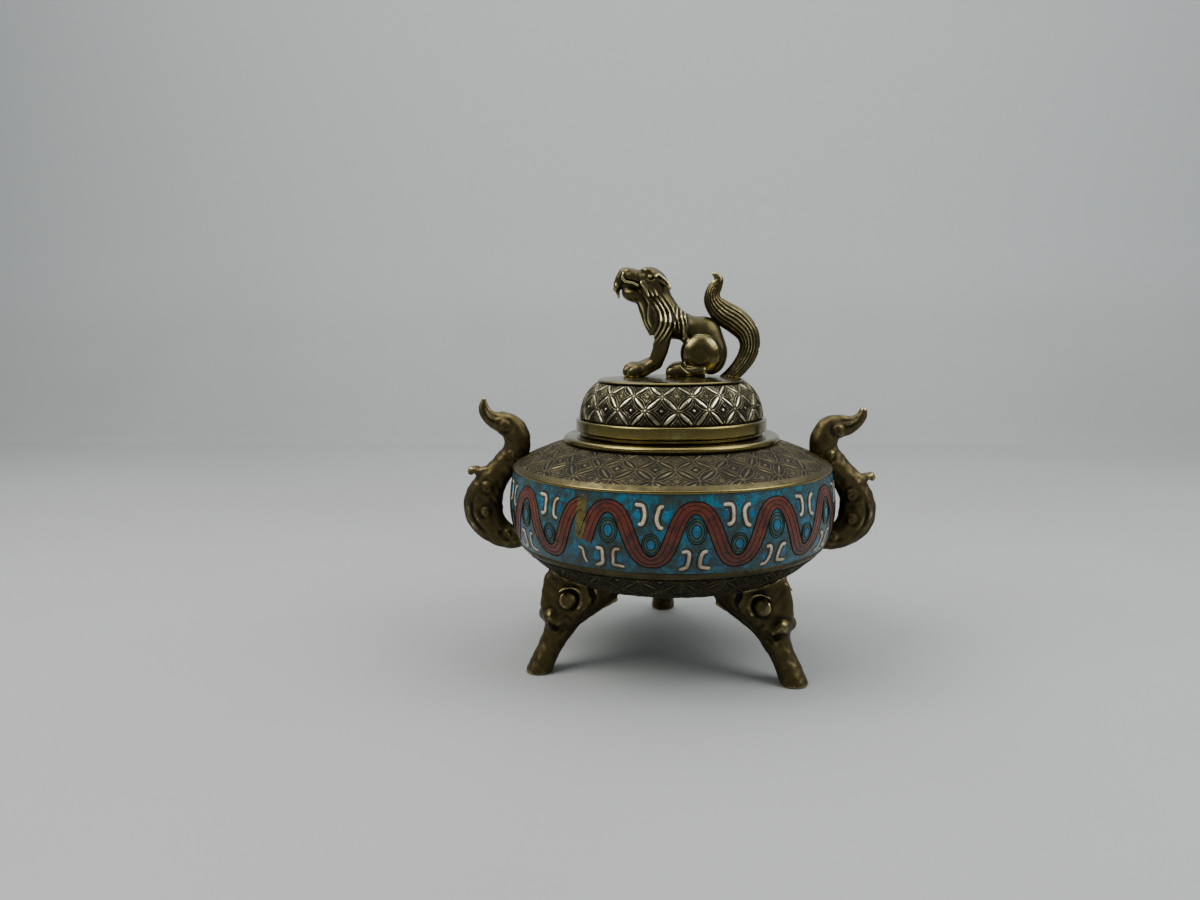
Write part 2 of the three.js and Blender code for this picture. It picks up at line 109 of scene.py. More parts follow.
def belly_radius(z):
    """Radius of the enamelled band, which is drawn in towards both of its beads."""
    share = (z - LOWER_BEAD_Z) / BAND_HEIGHT
    inset = LOWER_INSET + share * (UPPER_INSET - LOWER_INSET)
    return BELLY_RADIUS - inset + 4 * (inset + BELLY_SWELL) * share * (1 - share)


def bezier(start, bend, end, count):
    """Points along a curve with one bend (quadratic Bezier)."""
    t = np.linspace(0, 1, count)[:, None]
    start, bend, end = (np.array(p, float) for p in (start, bend, end))
    return (1 - t) ** 2 * start + 2 * t * (1 - t) * bend + t ** 2 * end


# ---- Mesh helpers ----------------------------------------------------
def add_mesh(name, points, faces, material, body, nodes, uv=None, wear=None, sharp=40):
    """A smooth-shaded piece from arrays. Faces all have the same number of corners, and edges
    that turn by more than `sharp` degrees stay sharp unless it is 0."""
    faces = np.asarray(faces, np.int32)
    mesh = bpy.data.meshes.new(name)
    mesh.vertices.add(len(points))
    placed = (np.asarray(points, float) + np.array(AXIS)) * MM
    mesh.vertices.foreach_set("co", placed.astype(np.float32).ravel())
    mesh.loops.add(faces.size)
    mesh.loops.foreach_set("vertex_index", faces.ravel())
    mesh.polygons.add(len(faces))
    starts = np.arange(0, faces.size, faces.shape[1], dtype=np.int32)
    mesh.polygons.foreach_set("loop_start", starts)
    mesh.update(calc_edges=True)
    if wear is not None:
        attribute = mesh.attributes.new("wear", "FLOAT", "POINT")
        attribute.data.foreach_set("value", np.asarray(wear, np.float32).ravel())
    if uv is not None:
        layer = mesh.uv_layers.new(name="OFBake")
        layer.data.foreach_set("uv", np.asarray(uv, np.float32).ravel())
    mesh.validate(clean_customdata=False)
    mesh.polygons.foreach_set("use_smooth", np.ones(len(mesh.polygons), bool))
    if sharp:
        mesh.set_sharp_from_angle(angle=math.radians(sharp))
    mesh.materials.append(material)
    piece = bpy.data.objects.new(name, mesh)
    bpy.context.scene.collection.objects.link(piece)
    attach(piece, body)
    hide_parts(*nodes)


def tube_faces(rows, columns, rows_close, columns_close=True):
    """Quads between the points of a grid that is stored row by row, facing out when each row
    runs anticlockwise seen from outside, with the rows going up."""
    row = np.arange(rows if rows_close else rows - 1)
    column = np.arange(columns if columns_close else columns - 1)
    row, column = (grid.ravel() for grid in np.meshgrid(row, column, indexing="ij"))
    next_row = (row + 1) % rows
    next_column = (column + 1) % columns
    return np.stack([row * columns + column, row * columns + next_column,
                     next_row * columns + next_column, next_row * columns + column], 1)


def direction(azimuth):
    """Unit x and y of an azimuth in degrees."""
    return np.sin(np.radians(azimuth)), -np.cos(np.radians(azimuth))


def on_circle(radius, azimuth, z):
    east, north = direction(azimuth)
    return np.stack([radius * east, radius * north, z], -1)


def run_length(line):
    """How far along a line each of its points lies."""
    return np.concatenate([[0], np.cumsum(np.linalg.norm(np.diff(line, axis=0), axis=1))])


def beside(line, closed):
    """Unit vectors at right angles to a plane line, on its right-hand side."""
    ahead = np.roll(line, -1, 0) - np.roll(line, 1, 0) if closed else np.gradient(line, axis=0)
    ahead = ahead / (np.linalg.norm(ahead, axis=1)[:, None] + 1e-9)
    return np.stack([ahead[:, 1], -ahead[:, 0]], 1)


def points_at(line, places):
    """Points of a plane line at the given distances along it."""
    along = run_length(line)
    return np.stack([np.interp(places, along, line[:, k]) for k in (0, 1)], 1)


def add_turned(name, outline, material, body, nodes, columns=256, relief=None, closed=True,
               sharp=40):
    """A turned ring. Its outline of (radius, z) runs up the outside and down the inside. The
    relief, where there is one, gives heights and wear for the first rows and every azimuth."""
    outline = np.asarray(outline, float)
    rows = len(outline)
    azimuth = np.arange(columns) * 360 / columns
    normal = beside(outline, True)
    height = np.zeros((rows, columns))
    wear = np.full((rows, columns), 0.5)
    if relief is not None:
        carved, rubbed = relief(azimuth)
        height[:len(carved)] = carved
        wear[:len(carved)] = rubbed
    radius = outline[:, :1] + normal[:, :1] * height
    z = outline[:, 1:] + normal[:, 1:] * height
    points = on_circle(radius, azimuth, z).reshape(-1, 3)
    faces = tube_faces(rows, columns, closed)
    along = run_length(outline)
    along = np.append(along, along[-1] + np.linalg.norm(outline[0] - outline[-1]))
    around = TAU * outline[:, 0].max()
    row, column = faces[:, 0] // columns, faces[:, 0] % columns
    corner_u = np.stack([column, column + 1, column + 1, column], 1) / columns
    corner_v = along[np.stack([row, row, row + 1, row + 1], 1)] / max(around, along[-1])
    uv = np.stack([corner_u, corner_v], 2)
    add_mesh(name, points, faces, material, body, nodes, uv, wear.ravel(), sharp)


def rounded(corners, radius, steps=4):
    """A closed outline whose corners are eased by arcs."""
    corners = np.asarray(corners, float)
    eased = []
    for before, corner, after in zip(np.roll(corners, 1, 0), corners, np.roll(corners, -1, 0)):
        reach = [min(radius, 0.45 * np.linalg.norm(end - corner)) for end in (before, after)]
        start = corner + (before - corner) * reach[0] / np.linalg.norm(before - corner)
        end = corner + (after - corner) * reach[1] / np.linalg.norm(after - corner)
        eased.append(bezier(start, corner, end, steps))
    return np.concatenate(eased)


def stretch_rows(outline, step):
    """Points at an even spacing along an open outline."""
    outline = np.asarray(outline, float)
    length = run_length(outline)[-1]
    return points_at(outline, np.linspace(0, length, max(2, round(length / step) + 1)))


# ---- Materials -------------------------------------------------------
def node_material(name):
    material = bpy.data.materials.new(name)
    material.use_nodes = True
    tree = material.node_tree
    return material, tree, tree.nodes["Principled BSDF"]


def add_node(tree, kind, **settings):
    node = tree.nodes.new(kind)
    for key, value in settings.items():
        setattr(node, key, value)
    return node


def noise(tree, scale, detail=4, roughness=0.6, distortion=0.0):
    """Noise over the object, at a scale given in cycles per millimetre."""
    place = add_node(tree, "ShaderNodeTexCoord")
    texture = add_node(tree, "ShaderNodeTexNoise")
    texture.inputs["Scale"].default_value = scale / MM
    texture.inputs["Detail"].default_value = detail
    texture.inputs["Roughness"].default_value = roughness
    texture.inputs["Distortion"].default_value = distortion
    tree.links.new(place.outputs["Object"], texture.inputs["Vector"])
    return texture.outputs["Fac"]


def remap(tree, source, low, high, to_low=0.0, to_high=1.0):
    """Eases a value from to_low to to_high as the source goes from low to high."""
    node = add_node(tree, "ShaderNodeMapRange", interpolation_type="SMOOTHSTEP")
    ends = zip(("From Min", "From Max", "To Min", "To Max"), (low, high, to_low, to_high))
    for key, value in ends:
        node.inputs[key].default_value = value
    tree.links.new(source, node.inputs["Value"])
    return node.outputs["Result"]


def math_node(tree, operation, first, second):
    node = add_node(tree, "ShaderNodeMath", operation=operation)
    for socket, value in zip(node.inputs, (first, second)):
        if isinstance(value, (int, float)):
            socket.default_value = value
        else:
            tree.links.new(value, socket)
    return node.outputs["Value"]


def mix_colours(tree, share, first, second):
    node = add_node(tree, "ShaderNodeMix", data_type="RGBA")
    tree.links.new(share, node.inputs["Factor"])
    for socket, value in ((node.inputs["A"], first), (node.inputs["B"], second)):
        if isinstance(value, tuple):
            socket.default_value = (*value, 1)
        else:
            tree.links.new(value, socket)
    return node.outputs["Result"]


def bump(tree, shader, height, depth, strength=1.0):
    node = add_node(tree, "ShaderNodeBump")
    node.inputs["Strength"].default_value = strength
    node.inputs["Distance"].default_value = depth * MM
    tree.links.new(height, node.inputs["Height"])
    tree.links.new(node.outputs["Normal"], shader.inputs["Normal"])


def metal(name, grime, patina, rubbed, rough=(0.3, 0.6), wear_range=(0.25, 0.8), mottling=0.35,
          scale=0.25, pits=0.03):
    """Cast metal that is grimy in its hollows, patinated over its body and rubbed bright where
    the wear attribute is high."""
    material, tree, shader = node_material(name)
    wear = add_node(tree, "ShaderNodeAttribute", attribute_name="wear").outputs["Fac"]
    broad = noise(tree, scale, 5, 0.65, 0.4)
    fine = noise(tree, scale * 9, 4, 0.7)
    spread = math_node(tree, "MULTIPLY", math_node(tree, "SUBTRACT", broad, 0.5), mottling * 2)
    speckle = math_node(tree, "MULTIPLY", math_node(tree, "SUBTRACT", fine, 0.5), mottling)
    level = math_node(tree, "ADD", wear, math_node(tree, "ADD", spread, speckle))
    low, high = wear_range
    middle = (low + high) / 2
    dirty = remap(tree, level, low - 0.2, middle)
    bright = remap(tree, level, middle, high + 0.1)
    base = mix_colours(tree, dirty, grime, patina)
    tree.links.new(mix_colours(tree, bright, base, rubbed), shader.inputs["Base Color"])
    tree.links.new(remap(tree, level, low - 0.2, middle, 0.55, 1.0), shader.inputs["Metallic"])
    shader.inputs["Specular IOR Level"].default_value = 0.2
    wide = math_node(tree, "MULTIPLY", remap(tree, fine, 0.3, 0.7, 0.8, 1.25),
                     remap(tree, level, low - 0.1, high, rough[1], rough[0]))
    tree.links.new(wide, shader.inputs["Roughness"])
    grain = math_node(tree, "ADD", fine, math_node(tree, "MULTIPLY", broad, 1.5))
    bump(tree, shader, grain, pits)
    return material


cast_bronze = metal("cast_bronze", (0.005, 0.005, 0.003), (0.080, 0.072, 0.036),
                    (0.62, 0.58, 0.40), rough=(0.2, 0.6), wear_range=(0.3, 0.78))
shoulder_bronze = metal("shoulder_bronze", (0.006, 0.005, 0.003), (0.070, 0.058, 0.026),
                        (0.36, 0.32, 0.19), rough=(0.26, 0.6), wear_range=(0.3, 0.88),
                        mottling=0.45)
dark_bronze = metal("dark_bronze", (0.008, 0.006, 0.003), (0.070, 0.054, 0.022),
                    (0.32, 0.27, 0.13), rough=(0.24, 0.5), wear_range=(0.28, 0.95),
                    mottling=0.42, scale=0.3, pits=0.06)
lion_bronze = metal("lion_bronze", (0.008, 0.006, 0.003), (0.068, 0.056, 0.022),
                    (0.44, 0.39, 0.18), rough=(0.18, 0.42), wear_range=(0.3, 0.9),
                    mottling=0.28, scale=0.3)
polished_brass = metal("polished_brass", (0.045, 0.036, 0.012), (0.16, 0.13, 0.042),
                       (0.40, 0.34, 0.14), rough=(0.14, 0.34), wear_range=(0.1, 0.9),
                       mottling=0.5, scale=0.12, pits=0.015)
inner_bronze = metal("inner_bronze", (0.03, 0.024, 0.018), (0.10, 0.078, 0.045),
                     (0.22, 0.17, 0.09), rough=(0.5, 0.75))


def enamel(name, colours, speck, rough=(0.22, 0.5), scale=0.3, speck_amount=0.5):
    """Fired glass paste: colour that drifts through several tones, fine pits and worn gloss."""
    material, tree, shader = node_material(name)
    broad = noise(tree, scale, 4, 0.6, 0.6)
    fine = noise(tree, scale * 8, 4, 0.65)
    base = mix_colours(tree, remap(tree, broad, 0.36, 0.5), colours[0], colours[1])
    base = mix_colours(tree, remap(tree, broad, 0.5, 0.64), base, colours[2])
    flecks = remap(tree, fine, 0.58, 0.74, 0.0, speck_amount)
    base = mix_colours(tree, flecks, base, speck)
    dark = remap(tree, fine, 0.42, 0.3, 0.0, 0.7)
    base = mix_colours(tree, dark, base, tuple(0.3 * value for value in colours[0]))
    tree.links.new(base, shader.inputs["Base Color"])
    tree.links.new(remap(tree, fine, 0.35, 0.7, rough[0], rough[1]), shader.inputs["Roughness"])
    shader.inputs["Specular IOR Level"].default_value = 0.32
    shader.inputs["Coat Weight"].default_value = 0.14
    shader.inputs["Coat Roughness"].default_value = 0.18
    pitted = math_node(tree, "ADD", math_node(tree, "MULTIPLY", broad, 2.0), fine)
    bump(tree, shader, pitted, 0.09)
    return material


turquoise = enamel("enamel_turquoise", ((0.016, 0.024, 0.020), (0.008, 0.042, 0.052),
                                        (0.005, 0.092, 0.145)), (0.08, 0.13, 0.12))
blue = enamel("enamel_blue", ((0.006, 0.035, 0.065), (0.005, 0.070, 0.14), (0.008, 0.12, 0.21)),
              (0.10, 0.17, 0.2))
green = enamel("enamel_green", ((0.012, 0.030, 0.022), (0.014, 0.055, 0.045), (0.02, 0.085, 0.07)),
               (0.12, 0.16, 0.1))
brick = enamel("enamel_red", ((0.034, 0.008, 0.004), (0.078, 0.013, 0.006), (0.092, 0.022, 0.009)),
               (0.15, 0.07, 0.026), rough=(0.28, 0.5))
umber = enamel("enamel_umber", ((0.016, 0.011, 0.007), (0.028, 0.018, 0.010), (0.045, 0.026, 0.012)),
               (0.11, 0.08, 0.04), rough=(0.35, 0.6))
cream = enamel("enamel_cream", ((0.27, 0.21, 0.13), (0.40, 0.34, 0.24), (0.48, 0.43, 0.33)),
               (0.58, 0.54, 0.45), rough=(0.35, 0.55))
olive = enamel("enamel_olive", ((0.04, 0.030, 0.008), (0.075, 0.060, 0.012), (0.11, 0.085, 0.018)),
               (0.2, 0.16, 0.06))


# ---- Relief ----------------------------------------------------------
NET_PITCH = 9.4             # the pitch that the net's line widths are given for


def ridge(distance, half_width):
    """A soft-edged line, 1 in its middle."""
    return np.exp(-(distance / half_width) ** 2)


def dome(distance, radius):
    """A round-topped spot, 1 in its middle and 0 from its radius out."""
    return np.sqrt(np.clip(1 - (distance / radius) ** 2, 0, 1))


def flower_net(u, v, pitch, crisp, fullness):
    """Heights of a net of four-leaved flowers whose rows lie half a pitch apart. Row 0 of its
    cells, and every other one, holds a dot in a diamond, and the rest hold a star."""
    side = pitch / math.sqrt(2)
    p, q = (u + v) / math.sqrt(2) / side, (v - u) / math.sqrt(2) / side
    height = np.zeros_like(u)
    spread = 0.135 * crisp * pitch / NET_PITCH
    leaf_distances = []
    for along, across in ((p, q), (q, p)):
        run = along - np.floor(along) - 0.5
        off = np.abs(across - np.round(across)) * side
        edge = 1.34 * pitch / NET_PITCH * (1 - (2 * run) ** 2) ** 0.8
        leaf_distances.append(off - edge)
        leaf = fullness * edge
        swell = dome(off, np.maximum(leaf, 0.05))
        height = np.maximum(height, 0.95 * swell * np.clip(leaf / 0.4, 0, 1))
        height = np.maximum(height, 0.9 * ridge(off - edge, spread))
    beyond = np.minimum(*leaf_distances)
    a, b = p - np.floor(p) - 0.5, q - np.floor(q) - 0.5
    east, up = (a - b) * side / math.sqrt(2), (a + b) * side / math.sqrt(2)
    row = np.floor(p) + np.floor(q) + 1
    dotted = np.mod(row, 2) == 0
    reach = np.hypot(east, up)
    height = np.maximum(height, 0.8 * ridge(beyond - 0.07 * pitch, spread))
    dot = dome(reach, 0.06 * pitch)
    spokes = 0.75 * ridge(reach * np.abs(np.sin(4 * np.arctan2(up, east))) / 4, spread * 0.9)
    spokes *= (reach < 0.25 * pitch) & (beyond > 0.09 * pitch)
    height = np.maximum(height, np.where(dotted, dot, spokes))
    flower = np.hypot(p - np.round(p), q - np.round(q)) * side
    return np.maximum(height, 0.85 * dome(flower, 0.055 * pitch))


def wobble(azimuth, along, seed):
    """Slow unevenness of a hand-finished casting, from -1 to 1."""
    phase = np.random.default_rng(seed).uniform(0, TAU, 6)
    waves = ((7, 0.9), (13, -1.3), (23, 0.5), (31, 2.1), (47, -1.9), (5, 0))
    turn = np.radians(azimuth)
    return sum(np.sin(times * turn + slope * along + shift)
               for (times, slope), shift in zip(waves, phase)) / len(waves)


def net_relief(outline, around, pitch_radius, first_flower, row_offset, depth, crisp, seed,
               fade, fullness=0.5, polish=0.78):
    """Relief for add_turned, with `around` flowers to a turn. It keeps its proportions at every
    radius, fades out over `fade` at both edges, and `polish` says how bright it is rubbed."""
    pitch = TAU * pitch_radius / around
    true_along = run_length(outline)
    middle = (outline[1:, 0] + outline[:-1, 0]) / 2
    drawn = np.concatenate([[0], np.cumsum(np.diff(true_along) * pitch_radius / middle)])

    def relief(azimuth):
        azimuth = azimuth[None, :]
        u = np.radians(azimuth - first_flower) * pitch_radius
        v = drawn[:, None] + row_offset
        height = flower_net(u + 0.22 * wobble(azimuth, v / 3, seed),
                            v + 0.18 * wobble(azimuth, v / 4, seed + 1), pitch, crisp, fullness)
        edge = np.minimum(true_along, true_along[-1] - true_along)[:, None]
        fading = np.clip(edge / fade, 0, 1)
        strength = 1 - 0.18 * (1 + wobble(azimuth, v / 6, seed + 2))
        rubbed = 0.04 + polish * height ** 1.2 * strength
        return depth * height * strength * fading, rubbed

    return relief


# ---- Bowl ------------------------------------------------------------
UNDERSIDE = [(0, FLOOR_Z), (15, 26.7), (30, 27.2), (34, 28), (36.5, 29), (39, 30.5), (41.5, 32.3),
             (43.3, 34), (45.7, 36)]
SHOULDER = bezier((48.35, SHOULDER_Z), (41.9, 64.7), (33, NECK_Z), 24)
INSIDE = [(MOUTH_RADIUS, NECK_Z), (MOUTH_RADIUS, 65), (33, 64.4), (42.3, 61.5), (44.6, 58.8),
          (45.8, 53.7), (45.9, 47.9), (44.4, 42.1), (43, 37.6), (38.9, 33), (34.3, 30.7), (0.01, 29.1)]
SHOULDER_NET_RADIUS = 47.9      # the shoulder's net stops here, short of the bead


def smooth_line(points, per_span):
    """A curve through a row of points (Catmull-Rom)."""
    points = np.asarray(points, float)
    padded = np.vstack([2 * points[0] - points[1], points, 2 * points[-1] - points[-2]])
    t = np.linspace(0, 1, per_span, endpoint=False)[:, None]
    spans = []
    for a, b, c, d in zip(padded, padded[1:], padded[2:], padded[3:]):
        spans.append(0.5 * (2 * b + (c - a) * t + (2 * a - 5 * b + 4 * c - d) * t ** 2
                            + (3 * b - a - 3 * c + d) * t ** 3))
    return np.vstack([*spans, points[-1:]])


def make_bowl():
    under = smooth_line(UNDERSIDE[:3], 4)
    recess = [(belly_radius(z) - 1.5, z) for z in np.linspace(38.2, 60, 12)]
    shell = [(0.01, FLOOR_Z), *under[1:].tolist(), (33.2, 28.6), (40, 32.6), (45.4, 37.2),
             *recess, (46.4, 61.6), (40.5, 64.3), (32.6, 66.8), (31.6, NECK_Z), *INSIDE]
    add_turned("bowl_core", shell, inner_bronze, "burner", ["bowl"], 160,
               closed=False)

    foot = stretch_rows(smooth_line(UNDERSIDE[2:], 5), 0.26)
    foot_back = [(44.6, 36.6), (40, 32.8), (34, 29.4), (30.2, 28)]
    foot_net = net_relief(foot, 24, 41, 4, 2.2, 0.38, 1.3, 11, fade=0.3, fullness=0.3)
    shoulder = stretch_rows(SHOULDER[SHOULDER[:, 0] < SHOULDER_NET_RADIUS], 0.21)
    shoulder_back = [(33, 66.6), (41, 63.9), (46.9, 60.9)]
    shoulder_net = net_relief(shoulder, 24, 41, 2, 3.4, 0.38, 1.25, 5, fade=0.3, fullness=0.3)
    for name, face, back, columns, net in (
            ("bowl_foot_relief", foot, foot_back, 960, foot_net),
            ("bowl_shoulder_relief", shoulder, shoulder_back, 1200, shoulder_net)):
        add_turned(name, [*face.tolist(), *back], shoulder_bronze, "burner", ["bowl"],
                   columns, net, sharp=0)

    line = [(47.0, 59.9), (48.85, 59.9), (49.0, 60.15), (49.0, 60.55), (48.8, 60.8), (47.0, 60.8)]
    upper = [(47.0, 59.95), (48.85, 59.95), (48.9, 60.7), (47.5, 62.05), (46.6, 61.6)]
    lower = [(45.0, 36.2), (46.1, 36.35), (47.35, 37.5), (47.3, 38.5), (46, 38.6)]
    rim = [(31.4, 66.2), (33.3, 66.9), (33.1, 67.62), (MOUTH_RADIUS, NECK_Z), (MOUTH_RADIUS, 66.2)]
    for name, corners, radius, material, slot in (
            ("bowl_upper_bead", upper, 0.3, shoulder_bronze, "cast_bronze"),
            ("bowl_upper_line", line, 0.15, polished_brass, "polished_brass"),
            ("bowl_lower_bead", lower, 0.4, shoulder_bronze, "cast_bronze"),
            ("bowl_rim", rim, 0.3, inner_bronze, "cast_bronze")):
        add_turned(name, rounded(corners, radius), material, "burner", ["bowl"])
    ring = rounded([(MOUTH_RADIUS, 67.9), (32.4, 67.9), (33.1, 68.4), (33.1, 69.3), (32.4, 69.9),
                    (MOUTH_RADIUS, 69.9)], 0.6, 6)
    add_turned("mouth_ring_worn", ring, polished_brass, "burner", ["mouth_ring"])


make_bowl()


# ---- Lid -------------------------------------------------------------
DOME = bezier((27.8, 75.3), (27.4, 82.58), (22.4, 85.7), 24)
PLATE_RADIUS = 22.4
PLATE_EDGE_Z = 86.9
PLATE_CROWN = 0.9
STAND_GAP = 0.05            # how far the lion-dog and its tail stay above the plate


def crown_height(radius):
    """Height of the lid's crowned plate."""
    return PLATE_EDGE_Z + PLATE_CROWN * (1 - (radius / PLATE_RADIUS) ** 2)


def make_lid():
    seat = rounded([(24.5, 64.2), (26.5, 64.2), (26.5, 70.2), (28.1, 70.2), (28.1, 71.1),
                    (24.5, 71.1)], 0.25)
    add_turned("lid_seat_worn", seat, polished_brass, "lid", ["lid_seat"])
    band = rounded([(25.8, 71.4), (29.0, 71.4), (29.2, 71.7), (29.2, 74.6), (28.8, 75.0),
                    (25.8, 75.0)], 0.3)
    add_turned("lid_band_worn", band, polished_brass, "lid", ["lid_band"])

    face = stretch_rows(DOME, 0.17)
    back = bezier((20.4, 84.6), (25.4, 81.4), (25.8, 75.3), 6)
    net = net_relief(face, 19, 26.6, 4.2, 4.9, 0.55, 1.0, 3, fade=0.25, polish=0.95)
    add_turned("lid_dome_relief", [*face.tolist(), *back.tolist()], cast_bronze, "lid",
               ["lid_dome"], 1040, net, sharp=0)

    crown = [(radius, crown_height(radius)) for radius in np.linspace(21.8, 0.01, 9)]
    plate = [(0.01, 86), (21.7, 86), (22.2, 86.1), (22.45, 86.35), (22.45, 86.6), (22.2, 86.85),
             *crown]
    add_turned("lid_plate_worn", plate, polished_brass, "lid", ["lid_plate"],
               closed=False)


make_lid()


# ---- Enamel ----------------------------------------------------------
ENAMEL_LOW = 38.45
ENAMEL_HIGH = 60.05
ARC = TAU * BELLY_RADIUS / 360      # millimetres of arc for one degree at the belly


def on_belly(arc, z, lift):
    return on_circle(belly_radius(z) + lift, arc / ARC, z)


class Inlay:
    """Many bars of one enamel, each bent round the belly, that make one mesh."""

    def __init__(self):
        self.points, self.faces, self.count = [], [], 0

    def bar(self, path, half_width, lift, closed=False, crown=0.05, sink=0.5, round_ends=True):
        """path is rows of (arc, z). The bar's face stands `lift` out from the belly."""
        along = run_length(path)
        width = np.broadcast_to(np.asarray(half_width, float), len(path)).copy()
        if round_ends and not closed:
            reach = np.minimum(along, along[-1] - along)
            width *= np.sqrt(np.clip(1 - (1 - np.clip(reach / width, 0, 1)) ** 2, 0.01, 1))
        side = beside(path, closed)
        section = ((1, -sink), (1, lift - crown), (0.55, lift), (-0.55, lift), (-1, lift - crown),
                   (-1, -sink))
        rows = []
        for share, height in section:
            place = path + side * (share * width)[:, None]
            rows.append(on_belly(place[:, 0], place[:, 1], height))
        grid = np.stack(rows, 1)
        columns = len(section)
        faces = tube_faces(len(path), columns, closed)
        self.points.append(grid.reshape(-1, 3))
        self.faces.append(faces + self.count)
        if not closed:
            last = (len(path) - 1) * columns
            ends = [(5, 2, 1, 0), (5, 4, 3, 2), (0, 1, 2, 5), (2, 3, 4, 5)]
            for corners, base in zip(ends, (0, 0, last, last)):
                self.faces.append(np.array([corners]) + base + self.count)
        self.count += grid.shape[0] * columns

    def make(self, name, material, slot):
        add_mesh(name, np.concatenate(self.points), np.concatenate(self.faces), material,
                 "burner", ["enamel_wave"], sharp=50)


def even_path(points, step=0.3):
    """A smooth path at an even spacing, with extra points at its ends for round caps."""
    line = smooth_line(points, 8)
    length = run_length(line)[-1]
    inner = np.linspace(0, length, max(4, round(length / step)) + 1)
    tip = np.array([0.04, 0.12])
    return points_at(line, np.unique(np.concatenate([inner, tip, length - tip])))


def oval_path(centre, half_width, half_height, count=40):
    turn = np.linspace(0, TAU, count, endpoint=False)
    return np.stack([centre[0] + half_width * np.cos(turn),
                     centre[1] + half_height * np.sin(turn)], 1)


def oval_fill(centre, half_width, half_height, count=17):
    """Path and half widths of a bar that fills an oval."""
    turn = np.linspace(-math.pi / 2, math.pi / 2, count)
    path = np.stack([np.full(count, centre[0]), centre[1] + half_height * np.sin(turn)], 1)
    return path, np.maximum(half_width * np.cos(turn), 0.02)


def wave_path():
    """The middle of the wave, once round the belly, and its phase. It starts half way down the
    near side of the first crest and stops just short of where one more crest would stand."""
    first = FIRST_CREST - WAVE_PERIOD * 0.29
    azimuth = np.arange(first, FIRST_CREST + WAVE_COUNT * WAVE_PERIOD - 0.1, 0.5)
    phase = TAU * (azimuth - FIRST_CREST) / WAVE_PERIOD
    full = np.tanh(WAVE_FULLNESS * np.cos(phase)) / math.tanh(WAVE_FULLNESS)
    return np.stack([azimuth * ARC, WAVE_MIDDLE + WAVE_AMPLITUDE * full], 1), phase


# What lies in each bend of the wave: arc from the bend's middle and height of the two cream
# scrolls and of the blue drops beside them, and the oval that closes the bend. A size is half the
# width and half the height.
CREST = {
    "scrolls": (
        ((-3.5, 44.9), (-2.2, 45.0), (-1.75, 44.2), (-1.75, 42.3), (-2.2, 40.8), (-3.1, 40.1),
         (-4.4, 39.9)),
        ((3.3, 45.1), (2.2, 44.9), (1.5, 43.9), (1.25, 42.0), (1.3, 40.7), (2.2, 40.3),
         (4.3, 40.1))),
    "oval_z": 50.2, "oval_size": (2.6, 3.4),
    "drops": ((3.0, 42.3), (-3.7, 42.4)), "drop_size": (1.05, 1.25)}
TROUGH = {
    "scrolls": (
        ((-4.4, 57.2), (-2.5, 57.1), (-1.8, 56.5), (-1.65, 54.5), (-1.85, 52.8), (-2.6, 52.1),
         (-3.4, 52.2)),
        ((3.5, 56.9), (2.5, 56.5), (1.8, 55.4), (1.65, 53.6), (1.95, 52.1), (2.6, 51.5),
         (3.4, 51.4))),
    "oval_z": 46.7, "oval_size": (2.4, 2.9),
    "drops": ((3.9, 54.3), (-3.6, 54.6)), "drop_size": (0.9, 1.3)}


